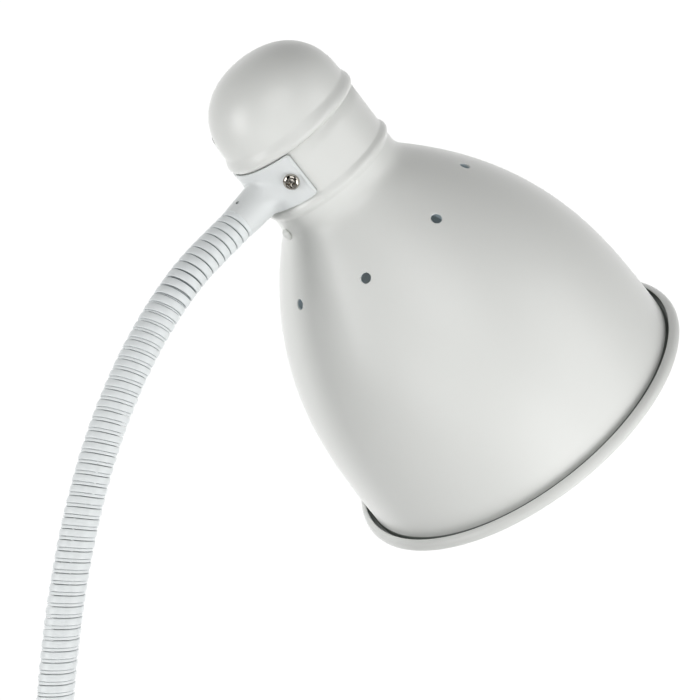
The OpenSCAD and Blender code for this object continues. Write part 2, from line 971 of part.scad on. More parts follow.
upper_jaw();
upper_pad();
upper_grip();
pivot_pin();
pin_clip();
torsion_spring();
lower_jaw();
lower_pad();
lower_grip();
base_collar();
base_screw();
base_washer();
base_grub_screw();
cord_grommet();
hose_bottom_fitting();
hose_segment(0);  // hose_segment_0
hose_segment(1);  // hose_segment_1
hose_segment(2);  // hose_segment_2
hose_segment(3);  // hose_segment_3
hose_segment(4);  // hose_segment_4
hose_segment(5);  // hose_segment_5
hose_segment(6);  // hose_segment_6
hose_segment(7);  // hose_segment_7
hose_segment(8);  // hose_segment_8
hose_segment(9);  // hose_segment_9
hose_segment(10);  // hose_segment_10
hose_top_fitting();
neck_bracket();
bracket_screws();
boss_grub_screw();
shade();
shade_plug();
rear_cap();
socket_bridge();
holder_nipple();
holder_washer();
holder_nut();
holder_cap();
holder_body();
holder_shell();
holder_contact();
terminal_screws();
switch_body();
switch_nut();
switch_button();
lead_wires();
bulb_globe();
bulb_housing();
bulb_cap();
bulb_insulator();
bulb_contact();
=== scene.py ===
"""Looks of a clip-on reading lamp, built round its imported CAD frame.

Outlines are in millimetres, in a part's own local frame, and every mesh is placed in metres.
"""
import json
import math

import bmesh
import bpy
import numpy as np
from mathutils import Matrix, Vector


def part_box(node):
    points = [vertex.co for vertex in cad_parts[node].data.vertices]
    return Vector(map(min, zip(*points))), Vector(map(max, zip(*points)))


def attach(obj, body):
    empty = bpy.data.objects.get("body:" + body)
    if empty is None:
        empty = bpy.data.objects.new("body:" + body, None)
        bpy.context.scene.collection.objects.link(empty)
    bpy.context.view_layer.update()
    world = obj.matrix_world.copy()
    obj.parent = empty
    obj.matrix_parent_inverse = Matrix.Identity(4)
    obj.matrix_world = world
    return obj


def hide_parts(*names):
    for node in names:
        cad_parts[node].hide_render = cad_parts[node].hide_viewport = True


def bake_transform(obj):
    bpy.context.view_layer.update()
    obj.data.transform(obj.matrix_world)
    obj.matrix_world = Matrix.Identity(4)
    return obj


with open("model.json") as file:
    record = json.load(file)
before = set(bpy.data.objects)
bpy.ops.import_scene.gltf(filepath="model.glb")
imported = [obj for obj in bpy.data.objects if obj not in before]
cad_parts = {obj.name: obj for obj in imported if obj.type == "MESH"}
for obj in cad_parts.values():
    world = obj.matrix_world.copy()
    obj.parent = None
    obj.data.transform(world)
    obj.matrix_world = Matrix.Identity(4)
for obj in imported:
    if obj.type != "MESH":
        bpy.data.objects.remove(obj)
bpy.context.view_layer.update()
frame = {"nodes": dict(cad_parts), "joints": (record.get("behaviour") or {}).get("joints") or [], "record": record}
MM = 0.001
JOINTS = {joint["name"]: joint for joint in frame["joints"]}

# ---- places in the frame

# Head: local x runs to the boss, local y to the camera's side, local z from the rim to the cap.
BULB_PIVOT_H = 60
BRACKET_H = 135.2
BOSS_H = 133.7
BOSS_END = 40.4
head_axis = Vector(JOINTS["bulb_turn"]["axis"]).normalized()
boss_way = Vector((0, -1, 0)).cross(head_axis)
rim_centre = Vector(JOINTS["bulb_turn"]["pos_m"]) - BULB_PIVOT_H * MM * head_axis


def placed(x_way, y_way, z_way, origin):
    """Matrix from a local frame in millimetres to the row frame in metres."""
    turn = Matrix((x_way, y_way, z_way)).transposed().to_4x4()
    return Matrix.Translation(origin) @ turn @ Matrix.Scale(MM, 4)


HEAD = placed(boss_way, Vector((0, -1, 0)), head_axis, rim_centre)


def outward(turn, h):
    """Local frame on the head: z runs radially outwards at an angle round the axis, x along it."""
    a = math.radians(turn)
    out = Vector((math.cos(a), math.sin(a), 0))
    side = Vector((0, 0, 1)).cross(out)
    here = Matrix((Vector((0, 0, 1)), -side, out)).transposed().to_4x4()
    return HEAD @ Matrix.Translation((0, 0, h)) @ here


base_x = sum(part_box("base_collar")[i].x for i in (0, 1)) / 2
BASE = Matrix.Translation((base_x, 0, 0)) @ Matrix.Scale(MM, 4)
hose_start = Vector((base_x, 0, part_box("hose_bottom_fitting")[1].z))
hose_end = rim_centre + BOSS_H * MM * head_axis + BOSS_END * MM * boss_way
neck_bodies = ["root"] + [f"neck_{k}" for k in range(1, 10)] + ["head"]
neck_pivots = [
    Vector(joint["pos_m"])
    for child in neck_bodies[1:]
    for joint in frame["joints"]
    if joint["child"] == child
]

# ---- camera, light and floor

CAMERA_TURN = math.radians(32.43)
CAMERA_ROLL = math.radians(0.24)
CAMERA_LENS = 82.286
CAMERA_SENSOR = 36
# The rim's centre right of the camera, above it and ahead of it, in metres
RIM_IN_VIEW = (0.06412, -0.0232, 0.62483)
VIEW_AHEAD = Vector((math.sin(CAMERA_TURN), math.cos(CAMERA_TURN), 0))
VIEW_RIGHT = Vector((math.cos(CAMERA_TURN), -math.sin(CAMERA_TURN), 0))
UP = Vector((0, 0, 1))
# Where the room's soft light comes from, and how much of it
LOBES = ((VIEW_AHEAD, 2.4), (-UP, 0.44), (UP, 0.22))
# Just over full white, so that the floor and the background leave no edge between them
PURE_WHITE = 1.05


def feed(tree, socket, value):
    """Sets an input, or links it where the value is another node's output."""
    if isinstance(value, bpy.types.NodeSocket):
        tree.links.new(value, socket)
    else:
        socket.default_value = value


def wire(tree, node, **inputs):
    """Feeds a node's inputs, with an underscore for each space in a name."""
    for name, value in inputs.items():
        feed(tree, node.inputs[name.replace("_", " ")], value)
    return node


def add_node(tree, kind, **inputs):
    return wire(tree, tree.nodes.new("ShaderNode" + kind), **inputs)


def white_to_camera(tree, kind, other, out):
    """Pure white for what the camera sees, and another shader for the rest of the light."""
    seen = add_node(tree, kind, Color=(1, 1, 1, 1), Strength=PURE_WHITE)
    mix = add_node(tree, "MixShader", Fac=add_node(tree, "LightPath").outputs["Is Camera Ray"])
    feed(tree, mix.inputs[1], other.outputs[0])
    feed(tree, mix.inputs[2], seen.outputs[0])
    feed(tree, out.inputs[0], mix.outputs[0])


def add_camera():
    """Level camera, all but a slight roll."""
    right = VIEW_RIGHT * math.cos(CAMERA_ROLL) + UP * math.sin(CAMERA_ROLL)
    up = right.cross(VIEW_AHEAD)
    data = bpy.data.cameras.new("camera")
    data.lens = CAMERA_LENS
    data.sensor_width = CAMERA_SENSOR
    data.clip_start = 0.01
    camera = bpy.data.objects.new("camera", data)
    turn = Matrix((right, up, -VIEW_AHEAD)).transposed()
    place = rim_centre - RIM_IN_VIEW[0] * right - RIM_IN_VIEW[1] * up - RIM_IN_VIEW[2] * VIEW_AHEAD
    camera.matrix_world = Matrix.Translation(place) @ turn.to_4x4()
    bpy.context.scene.collection.objects.link(camera)
    bpy.context.scene.camera = camera


def add_world():
    """Pure white to look at; as light, soft lobes from behind the lamp, from below and overhead."""
    world = bpy.data.worlds.new("studio")
    bpy.context.scene.world = world
    world.use_nodes = True
    tree = world.node_tree
    tree.nodes.clear()
    direction = add_node(tree, "TexCoord").outputs["Generated"]
    total = 0
    for way, power in LOBES:
        facing = add_node(tree, "VectorMath", Vector=direction)
        facing.operation = "DOT_PRODUCT"
        facing.inputs[1].default_value = way
        value = facing.outputs["Value"]
        for operation, number in (
            ("MAXIMUM", 0), ("POWER", 2), ("MULTIPLY", power), ("ADD", total)
        ):
            step = add_node(tree, "Math")
            step.operation = operation
            feed(tree, step.inputs[0], value)
            feed(tree, step.inputs[1], number)
            value = step.outputs[0]
        total = value
    lit = add_node(tree, "Background", Strength=total)
    white_to_camera(tree, "Background", lit, add_node(tree, "OutputWorld"))


def add_light(name, target, distance, way, size, power):
    """Softbox facing the target, from a direction given as right, up and ahead in the view."""
    way = way[0] * VIEW_RIGHT + way[1] * UP + way[2] * VIEW_AHEAD
    data = bpy.data.lights.new(name, "AREA")
    data.shape = "RECTANGLE"
    data.size, data.size_y = size
    data.energy = power
    light = bpy.data.objects.new(name, data)
    light.location = target + distance * way.normalized()
    light.rotation_euler = (-way).to_track_quat("-Z", "Y").to_euler()
    light.visible_camera = False
    bpy.context.scene.collection.objects.link(light)


def add_floor():
    """Wide pale floor, white to the camera, that lets the soft light from below through."""
    reach, top, low = 60, -0.05, -0.06
    outline = [(0, low), (reach, low), (reach, top), (0, top)]
    floor = spun("floor", outline, 96, Matrix.Identity(4))
    material, tree, shader = new_material("floor")
    tree.nodes.remove(shader)
    clear = add_node(tree, "BsdfTransparent")
    white_to_camera(tree, "Emission", clear, tree.nodes["Material Output"])
    floor.data.materials.append(material)


# ---- materials

def new_material(name):
    material = bpy.data.materials.new(name)
    material.use_nodes = True
    return material, material.node_tree, material.node_tree.nodes["Principled BSDF"]


def noise(tree, scale, detail=2.0, stretch=(1, 1, 1)):
    """Noise in the object's own metres; scale is in features per metre."""
    place = add_node(tree, "TexCoord").outputs["Object"]
    place = add_node(tree, "Mapping", Vector=place, Scale=stretch).outputs[0]
    return add_node(tree, "TexNoise", Vector=place, Scale=scale, Detail=detail).outputs["Fac"]


def spread(tree, value, low, high):
    """Maps a noise value from its usual range to low..high."""
    usual = {"From_Min": 0.3, "From_Max": 0.7}
    return add_node(tree, "MapRange", Value=value, To_Min=low, To_Max=high, **usual).outputs[0]


def mixed(tree, share, first, second):
    """Colour between two, each of which is a triple or a socket."""
    mix = add_node(tree, "Mix")
    mix.data_type = "RGBA"
    for k, value in ((0, share), (6, first), (7, second)):
        feed(tree, mix.inputs[k], (*value, 1) if isinstance(value, tuple) else value)
    return mix.outputs[2]


def toned(tree, value, colour, darkest):
    """Colour that a noise value darkens, at most to a share of itself."""
    return mixed(tree, spread(tree, value, 0, 1), tuple(darkest * c for c in colour), colour)


def bumped(tree, value, distance, strength):
    return add_node(tree, "Bump", Height=value, Distance=distance, Strength=strength)


def paint(name, colour, rough, painted_shade_colour=(0.22, 0.24, 0.225), painted_inner_shade=(0.42, 0.50, 0.54)):
    """Powder coat: faint orange peel over slow waves, a little uneven in gloss and tone.

    Where a mesh has a "recess" attribute the colour darkens to painted shade, where light hardly
    reaches, and a second attribute paints the inner face of a shell bluish grey as painted shade.
    """
    material, tree, shader = new_material(name)
    coat = toned(tree, noise(tree, 22, 3), colour, 0.985)
    # Both attributes mix painted shade into the coat: bluish grey inside a shell, dark in crevices.
    for attribute, other in (("painted_inner_shade", painted_inner_shade), ("recess", painted_shade_colour)):
        place = add_node(tree, "Attribute")
        place.attribute_name = attribute
        coat = mixed(tree, place.outputs["Fac"], coat, other)
    peel = noise(tree, 1300, 1.5)
    waves = bumped(tree, noise(tree, 260, 2), 0.00006, 0.35)
    skin = wire(tree, bumped(tree, peel, 0.00003, 0.35), Normal=waves.outputs[0])
    gloss = spread(tree, peel, rough - 0.03, rough + 0.05)
    wire(tree, shader, Base_Color=coat, Roughness=gloss, Normal=skin.outputs[0])
    return material


def metal(name, colour, rough, stretch=(1, 1, 12), grain=2500):
    """Plated or drawn metal with fine lines from the die."""
    material, tree, shader = new_material(name)
    lines = noise(tree, grain, 3, stretch)
    tone = toned(tree, lines, colour, 0.86)
    gloss = spread(tree, lines, rough * 0.7, rough * 1.4)
    skin = bumped(tree, lines, 0.00002, 0.3).outputs[0]
    wire(tree, shader, Metallic=1.0, Base_Color=tone, Roughness=gloss, Normal=skin)
    return material


def moulded(name, colour, rough, grain=1600, depth=0.00004, darkest=0.9):
    """Moulded plastic, vinyl or rubber with the tool's fine texture."""
    material, tree, shader = new_material(name)
    texture = noise(tree, grain, 3)
    tone = toned(tree, texture, colour, darkest)
    gloss = spread(tree, texture, rough - 0.06, rough + 0.06)
    skin = bumped(tree, texture, depth, 0.5).outputs[0]
    wire(tree, shader, Base_Color=tone, Roughness=gloss, Normal=skin)
    return material


def diffuser(name):
    """Frosted bulb: milky plastic with a soft skin."""
    material = moulded(name, (0.86, 0.86, 0.83), 0.28, 900, 0.00001, 0.985)
    shader = material.node_tree.nodes["Principled BSDF"]
    shader.inputs["Subsurface Weight"].default_value = 0.35
    shader.inputs["Subsurface Radius"].default_value = (0.004, 0.004, 0.0035)
    return material


LOOKS = {
    name: maker(name, *values)
    for name, maker, *values in (
        ("shade_paint", paint, (0.79, 0.80, 0.775), 0.36),
        ("clip_paint", paint, (0.79, 0.80, 0.775), 0.36),
        ("bracket_paint", paint, (0.775, 0.80, 0.80), 0.38),
        # The hose's last colour is painted shade for everything below the outer faces of its windings.
        ("hose_paint", paint, (0.83, 0.865, 0.87), 0.40, (0.10, 0.13, 0.15)),
        ("pad_rubber", moulded, (0.035, 0.036, 0.038), 0.62),
        ("grip_vinyl", moulded, (0.62, 0.63, 0.62), 0.42, 700, 0.00003, 0.96),
        ("zinc_steel", metal, (0.66, 0.67, 0.68), 0.30),
        ("nickel_screws", metal, (0.50, 0.47, 0.42), 0.10, (1, 1, 1), 1200),
        ("brass_parts", metal, (0.78, 0.58, 0.27), 0.26),
        ("black_plastic", moulded, (0.012, 0.013, 0.015), 0.34),
        ("lead_insulation", moulded, (0.42, 0.42, 0.40), 0.40),
        ("bulb_diffuser", diffuser),
        ("bulb_plastic", moulded, (0.80, 0.80, 0.78), 0.38, 1500, 0.00002, 0.97),
        ("bulb_nickel", metal, (0.70, 0.69, 0.66), 0.22),
    )
}
NODE_SLOT = {part["node"]: part["material_slot"] for part in frame["record"]["subparts"]}

# ---- mesh tools

def finish_mesh(piece, sharp=35):
    """Smooth shading with hard edges where the surface turns sharply."""
    mesh = piece.data
    for face in mesh.polygons:
        face.use_smooth = True
    mesh.set_sharp_from_angle(angle=math.radians(sharp))


def add_mesh(name, points, faces, place=Matrix.Identity(4)):
    mesh = bpy.data.meshes.new(name)
    mesh.from_pydata([place @ Vector(p) for p in points], [], faces)
    piece = bpy.data.objects.new(name, mesh)
    bpy.context.scene.collection.objects.link(piece)
    cleaned(piece)
    return piece


def cleaned(piece, weld=1e-7):
    """Welds coincident points and turns every face outwards."""
    work = bmesh.new()
    work.from_mesh(piece.data)
    bmesh.ops.remove_doubles(work, verts=work.verts, dist=weld)
    bmesh.ops.dissolve_degenerate(work, edges=work.edges, dist=weld)
    loose = [edge for edge in work.edges if not edge.link_faces]
    bmesh.ops.delete(work, geom=loose, context="EDGES")
    bmesh.ops.recalc_face_normals(work, faces=work.faces)
    work.to_mesh(piece.data)
    work.free()


def grid_faces(rows, columns, wrap_rows, wrap_columns):
    faces = []
    for i in range(rows if wrap_rows else rows - 1):
        for j in range(columns if wrap_columns else columns - 1):
            a, b = i * columns, ((i + 1) % rows) * columns
            k = (j + 1) % columns
            faces.append((a + j, a + k, b + k, b + j))
    return faces


def add_grid(name, rows, place, wrap_rows=True, wrap_columns=True):
    """Mesh over rows of points, closed round on itself both ways unless told otherwise."""
    points = [point for row in rows for point in row]
    faces = grid_faces(len(rows), len(rows[0]), wrap_rows, wrap_columns)
    return add_mesh(name, points, faces, place)


def polar(r, a):
    return r * math.cos(a), r * math.sin(a)


def spun(name, outline, steps, place):
    """Closed solid of revolution about local z from an outline of (radius, height) points."""
    rows = []
    for i in range(steps):
        a = 2 * math.pi * i / steps
        rows.append([(*polar(r, a), z) for r, z in outline])
    return add_grid(name, rows, place)


def arc(centre, radius, start, stop, count):
    turns = [math.radians(start + (stop - start) * i / count) for i in range(count + 1)]
    return [(centre[0] + radius * math.cos(t), centre[1] + radius * math.sin(t)) for t in turns]


def rounded_plan(half_x, half_y, r, corner_steps=12, side_steps=1):
    """Rounded rectangle, whose sides are one straight step unless more are asked for."""
    cx, cy = half_x - r, half_y - r
    points = []
    for k, (sx, sy) in enumerate([(1, 1), (-1, 1), (-1, -1), (1, -1)]):
        points += arc((sx * cx, sy * cy), r, 90 * k, 90 * k + 90, corner_steps)
        x0, y0 = points[-1]
        x1, y1 = ((-cx, half_y), (-half_x, -cy), (cx, -half_y), (half_x, cy))[k]
        for f in (i / side_steps for i in range(1, side_steps)):
            points.append((x0 + f * (x1 - x0), y0 + f * (y1 - y0)))
    return points


def run_along(line):
    """Distance along a line at each of its points."""
    return np.concatenate([[0], np.cumsum(np.linalg.norm(np.diff(line, axis=0), axis=1))])


def picked(places, lengths, pairs):
    """Pairs interpolated at places along a line."""
    return np.stack([np.interp(places, lengths, pairs[:, i]) for i in (0, 1)], axis=-1)


def tangents(line, *lengths):
    """Unit tangent at each point of a line."""
    steps = np.gradient(line, *lengths, axis=0)
    return steps / np.linalg.norm(steps, axis=1)[:, None]


def blurred(values, reach, **padding):
    """Running mean with a bell-shaped weight, over a number of values to each side."""
    weight = np.exp(-np.linspace(-2, 2, 2 * reach + 1) ** 2)
    return np.convolve(np.pad(values, reach, **padding), weight / weight.sum(), mode="valid")


def sheet(middle, thick):
    """Outline of a sheet of metal with rounded edges, from the line through its middle."""
    middle = np.array(middle)
    steps = tangents(middle)
    side = np.stack([steps[:, 1], -steps[:, 0]], axis=1)
    half = thick / 2
    outer = middle + half * side
    inner = (middle - half * side)[::-1]

    def end(point, way, out):
        return [
            tuple(point + half * (math.cos(t) * out + math.sin(t) * way))
            for t in (math.pi * k / 6 for k in range(1, 6))
        ]

    last = end(middle[-1], steps[-1], side[-1])
    first = end(middle[0], -steps[0], -side[0])
    return [tuple(p) for p in outer] + last + [tuple(p) for p in inner] + first


def extruded(name, outline, z0, z1, place):
    """Prism over an outline of (x, y) points."""
    count = len(outline)
    points = [(x, y, z) for z in (z0, z1) for x, y in outline]
    faces = [tuple(range(count))[::-1], tuple(range(count, 2 * count))]
    faces += [(i, (i + 1) % count, count + (i + 1) % count, count + i) for i in range(count)]
    return add_mesh(name, points, faces, place)


def rod(name, r, z0, z1, place, steps=32):
    """Plain round cutter."""
    return spun(name, [(0, z0), (r, z0), (r, z1), (0, z1)], steps, place)


def combined(piece, other, operation):
    """Exact boolean with another piece, which is removed."""
    modifier = piece.modifiers.new("combine", "BOOLEAN")
    modifier.operation = operation
    modifier.solver = "EXACT"
    modifier.object = other
    apply_modifiers(piece)
    bpy.data.objects.remove(other)


def carve(piece, cutters):
    """Cuts the cutters out of a piece and removes them."""
    combined(piece, joined(cutters, piece.name + "_cutters"), "DIFFERENCE")


def apply_modifiers(piece):
    bpy.context.view_layer.update()
    graph = bpy.context.evaluated_depsgraph_get()
    mesh = bpy.data.meshes.new_from_object(piece.evaluated_get(graph))
    piece.modifiers.clear()
    piece.data = mesh


def joined(pieces, name):
    """One object from several, which are removed."""
    work = bmesh.new()
    for piece in pieces:
        work.from_mesh(piece.data)
        bpy.data.objects.remove(piece)
    mesh = bpy.data.meshes.new(name)
    work.to_mesh(mesh)
    work.free()
    result = bpy.data.objects.new(name, mesh)
    bpy.context.scene.collection.objects.link(result)
    return result


def softened(piece, width, segments=2, angle=30):
    """Rounds the edges that turn by more than an angle."""
    modifier = piece.modifiers.new("soften", "BEVEL")
    modifier.width = width * MM
    modifier.segments = segments
    modifier.limit_method = "ANGLE"
    modifier.angle_limit = math.radians(angle)
    modifier.use_clamp_overlap = True
    apply_modifiers(piece)


def mark(piece, name, share_of):
    """Writes a share from 0 to 1 at each point, for the paint to read."""
    values = piece.data.attributes.new(name, "FLOAT", "POINT")
    for vertex, value in zip(piece.data.vertices, values.data):
        value.value = min(1.0, max(0.0, share_of(vertex.co)))


def body_of(node):
    groups = frame["record"]["behaviour"]["bodies"]
    return next(body for body, members in groups.items() if node in members)


def stands_for(piece, *nodes, sharp=35):
    """Gives a new piece the looks and the body of the CAD nodes that it replaces."""
    slot = NODE_SLOT[nodes[0]]
    piece.data.materials.clear()
    piece.data.materials.append(LOOKS[slot])
    finish_mesh(piece, sharp)
    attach(piece, body_of(nodes[0]))
    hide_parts(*nodes)
    return piece


# ---- shade and cap

SHEET = 0.8
BELL_R = 67.7
BELL_H = 136.2
BELL_POWER = 2.73
BELL_TOP_H = 112.4
VENTS = 8
VENT_H = 96
VENT_R = 1.95
RIM_R = 73
RIM_H = 0.1
CURL_R = 2.6
FOOT_H = 2.3
NECK_R = 25.9
LOW_BEAD_H = 124
CAP_BEAD_H = 146.1
DOME_H = 150
DOME_RISE = 23.5
SCREW_TURN = 36.2
PLUG_TURN, PLUG_H = -9, 116.2
SWITCH_TURN, SWITCH_H = -59, 153.3


def bell(h):
    """Radius of the bell's sheet, with a slight flare near its mouth."""
    return BELL_R * (1 - (h / BELL_H) ** BELL_POWER) + 0.45 * max(0, 1 - h / 24) ** 1.5


def bell_slope(h):
    """Angle of the bell's wall to the head's axis, in degrees."""
    return math.degrees(math.atan(BELL_R * BELL_POWER / BELL_H * (h / BELL_H) ** (BELL_POWER - 1)))


def shade_middle():
    """Middle of the shade's sheet, from the curled lip round the channel and up to the spigot."""
    edge = RIM_R - SHEET / 2
    line = arc((edge - CURL_R, RIM_H), CURL_R, 78, 0, 18)
    line += arc((edge - 0.5, RIM_H), 0.5, -12, -90, 6)
    line += [(71, RIM_H - 0.5), (70, RIM_H - 0.5)]
    line += arc((bell(0) + 0.9, RIM_H + 0.4), 0.9, -90, -172, 7)
    line += [(bell(h), h) for h in (1.2, 1.8, FOOT_H - 0.15, FOOT_H, 2.9)]
    line += [(bell(h), h) for h in np.linspace(4, BELL_TOP_H, 72)]
    line += arc((33.4, 118), 8, 221, 180, 12)
    line += [(25.4, 119.5)]
    bead_half, bead_rise = 2.6, 1.1
    for h in np.linspace(-bead_half, bead_half, 25):
        bump = bead_rise * math.cos(math.pi / 2 * h / bead_half) ** 2
        line.append((25.45 + 0.02 * h + bump, LOW_BEAD_H + h))
    line += [(NECK_R - SHEET / 2, h) for h in (127.5, 131, 135, 139, 142.6)]
    line += [(24.6, 143.6), (24.6, 148.6)]
    return line


def make_shade():
    piece = spun("shade_shell", sheet(shade_middle(), SHEET), 256, HEAD)
    holes = []
    for i in range(VENTS):
        turn = Matrix.Rotation(math.radians(360 / VENTS * i), 4, "Z")
        lean = Matrix.Rotation(math.radians(90 - bell_slope(VENT_H)), 4, "Y")
        here = turn @ Matrix.Translation((bell(VENT_H), 0, VENT_H)) @ lean
        flare = [(0, -4), (VENT_R, -4), (VENT_R, 0.3), (2.0, 0.37), (2.12, 0.44), (2.2, 4), (0, 4)]
        holes.append(spun(f"vent_{i}", flare, 40, HEAD @ here))
    holes.append(rod("plug_hole", 1.6, 20, 40, outward(PLUG_TURN, PLUG_H)))
    holes.append(rod("lead_hole", 4.2, 20, 40, outward(0, BOSS_H)))
    carve(piece, holes)
    to_head = HEAD.inverted()

    def gutter(point):
        """Painted shade in the channel behind the lip: the wall's foot, and the lip's inner side."""
        x, y, h = to_head @ point
        r = math.hypot(x, y)
        if h > 2.75 or h < -0.3 or r < bell(max(h, 0)) + 0.2:
            return 0
        wall_reach, lip_inner_r = 69.6, 2.45
        if r < wall_reach:
            return (FOOT_H - h) / 0.15
        return (lip_inner_r - math.hypot(r - (RIM_R - SHEET / 2 - CURL_R), h - RIM_H)) / 0.1

    def inside(point):
        """Painted shade over the whole inner face of the bell."""
        x, y, h = to_head @ point
        return 1 if 2 < h < 112 and math.hypot(x, y) < bell(h) - 0.2 else 0

    # Painted shade: the channel behind the lip takes the paint's dark shade colour.
    mark(piece, "recess", gutter)
    # Painted shade, bluish grey, over the bell's inner face.
    mark(piece, "painted_inner_shade", inside)
    return stands_for(piece, "shade", sharp=50)


def make_cap():
    """Pressed cap: a rolled bead at its mouth and a rounded dome."""
    def dome(r, rise):
        """Quarter of a superellipse, a little squarer than a circle."""
        turns = [math.pi / 2 * i / 40 for i in range(40)]
        power = 2 / 2.3
        return [(r * math.cos(t) ** power, DOME_H + rise * math.sin(t) ** power) for t in turns]

    line = arc((25.0, CAP_BEAD_H), 1.75, -100, 0, 10)
    bead_fade, bead_rise = 4.2, 1.25
    for h in np.linspace(0, bead_fade, 15)[1:]:
        bump = bead_rise * math.cos(math.pi / 2 * h / bead_fade) ** 2
        line.append((25.5 + bump, CAP_BEAD_H + h))
    line += [p for p in dome(NECK_R - SHEET / 2, DOME_RISE - SHEET / 2) if p[1] > CAP_BEAD_H + 4.6]
    line += [(0.05, DOME_H + DOME_RISE - SHEET / 2)]
    piece = spun("rear_cap_shell", sheet(line, SHEET), 192, HEAD)
    carve(piece, [rod("switch_hole", 4.5, 18, 40, outward(SWITCH_TURN, SWITCH_H), 48)])
    return stands_for(piece, "rear_cap", sharp=50)


def make_plug():
    """Push-in plug: a stem and a dome whose skirt sinks into the curve of the waist."""
    dome_r, foot, rise = 2.3, 26.4, 1.6
    outline = [(0, 24), (1.5, 24), (1.5, foot), (dome_r - 0.1, foot)]
    turns = np.linspace(0, math.pi / 2, 14)
    outline += [(dome_r * math.cos(t), foot + 0.1 + rise * math.sin(t)) for t in turns[:-1]]
    outline += [(0, foot + 0.1 + rise)]
    piece = spun("shade_plug_moulded", outline, 48, outward(PLUG_TURN, PLUG_H))
    return stands_for(piece, "shade_plug")


# ---- neck bracket

SEAT_R = NECK_R + 0.02
SADDLE_R = SEAT_R + 1.0
SADDLE_HALF = 8.7
SADDLE_EDGE = 0.22
BOSS_R, BOSS_ROOT_R, BOSS_ROOT_Z = 6.27, 7.4, 20


def boss_r(z):
    """Radius of the boss, which is tapered."""
    return BOSS_R + (BOSS_ROOT_R - BOSS_R) * (BOSS_END - z) / (BOSS_END - BOSS_ROOT_Z)


def flare_line(across, limit, saddle):
    """Outer line of the bracket: down the boss, round the flare and out over the saddle."""
    flare = 1.0 + 4.0 * across**2
    foot_z = saddle(7.0)
    foot = np.array([boss_r(foot_z), foot_z])
    top = np.array([boss_r(foot_z + flare), foot_z + flare])
    out_r = foot[0] + flare
    out = np.array([out_r, saddle(min(out_r, SADDLE_R * 0.98 / max(abs(across), 0.01)))])
    line = [(BOSS_R - 0.12, BOSS_END), (BOSS_R - 0.03, BOSS_END - 0.05), (BOSS_R, BOSS_END - 0.2)]
    line += [(boss_r(z), z) for z in np.linspace(BOSS_END - 0.8, top[1], 6)]
    for t in np.linspace(0, 1, 14)[1:]:
        line.append(tuple((1 - t) ** 2 * top + 2 * t * (1 - t) * foot + t * t * out))
    if out_r < limit:
        line += [(r, saddle(r)) for r in np.linspace(out_r, limit, 12)[1:]]
    line = np.array(line)
    keep = line[:, 0] <= limit
    cut_z = float(np.interp(limit, line[:, 0], line[:, 1]))
    line = np.vstack([line[keep], [[limit, cut_z]]])
    fixed, free = line[:3], line[2:]
    along = run_along(free)
    places = np.linspace(0, along[-1], 30)[1:]
    return [tuple(p) for p in (*fixed, *picked(places, along, free))], cut_z


def bracket_section(x, y):
    """Section of the bracket from the boss's axis to a point on the plate's edge."""
    reach = math.hypot(x, y)
    ux, uy = x / reach, y / reach
    bore_r, socket_r, crevice = 4.6, 6.13, 0.28

    def saddle(r, radius=SADDLE_R):
        return math.sqrt(radius**2 - (uy * r) ** 2)

    section, cut_z = flare_line(uy, reach - SADDLE_EDGE, saddle)
    side_z = cut_z - SADDLE_EDGE
    section += [
        (reach - SADDLE_EDGE + SADDLE_EDGE * math.sin(t), side_z + SADDLE_EDGE * math.cos(t))
        for t in (0.5, 1.0, math.pi / 2)
    ]
    low_z = saddle(reach, SEAT_R)
    wall_z = low_z + crevice
    section += [(reach, 0.5 * (side_z + wall_z)), (reach, wall_z), (reach - 0.3, low_z)]
    under = (0.75 * reach, 0.5 * reach + 2.3, 6.9, bore_r)
    section += [(r, saddle(r, SEAT_R)) for r in under]
    section += [(bore_r, 30), (bore_r, 36), (socket_r, 36), (socket_r, BOSS_END - 0.05)]
    return [(r * ux, r * uy, z) for r, z in section]


def make_bracket():
    """Curved saddle that flares into the boss. Local x is along the head's axis, y across it."""
    boss = outward(0, BOSS_H)
    half_y = SADDLE_R * math.sin(math.radians(45.5))
    plan = rounded_plan(SADDLE_HALF, half_y, 1.1, 5, 14)
    rows = [bracket_section(x + (BRACKET_H - BOSS_H), y) for x, y in plan]
    piece = add_grid("neck_bracket_cast", rows, boss)
    grub = boss @ Matrix.Translation((0, 0, BOSS_END - 4))
    grub = grub @ Matrix.Rotation(math.radians(-18), 4, "Z") @ Matrix.Rotation(math.pi / 2, 4, "Y")
    seat = NECK_R + 0.1
    sink = [(0, seat), (1.65, seat), (2.8, seat + 0.85), (2.8, seat + 5), (0, seat + 5)]
    sink = spun("countersink", sink, 48, outward(-SCREW_TURN, BRACKET_H))
    carve(piece, [rod("grub_hole", 0.75, 5.2, 9, grub, 24), sink])
    to_boss = boss.inverted()

    def shaded(point):
        """Painted shade in the crevice round the plate's foot, and on the face where the flare is cut off below.
        """
        x, y, z = to_boss @ point
        if math.hypot(y, z) < SEAT_R + 0.3:
            return 1
        low_face = BRACKET_H - BOSS_H - SADDLE_HALF + 0.12
        return 0.85 if x < low_face and abs(y) < 11 else 0

    # Painted shade in the plate's crevice and on the cut face below the flare.
    mark(piece, "recess", shaded)
    return stands_for(piece, "neck_bracket", sharp=42)


def cross_recess(head, arm, half, low, place):
    """Cuts a cross recess with a tapered well at its middle."""
    corner = [(arm, -half), (arm, half), (half, half)]
    quarters = ((1, 0), (0, 1), (-1, 0), (0, -1))
    cross = [(x * c - y * s, x * s + y * c) for c, s in quarters for x, y in corner]
    carve(head, [extruded("cross", cross, low, low + 4, place)])
    well = [(0, low - 0.5), (0.4, low - 0.35), (1.0, low + 1.6), (0, low + 1.6)]
    carve(head, [spun("well", well, 24, place)])
    softened(head, 0.06, 2, 40)


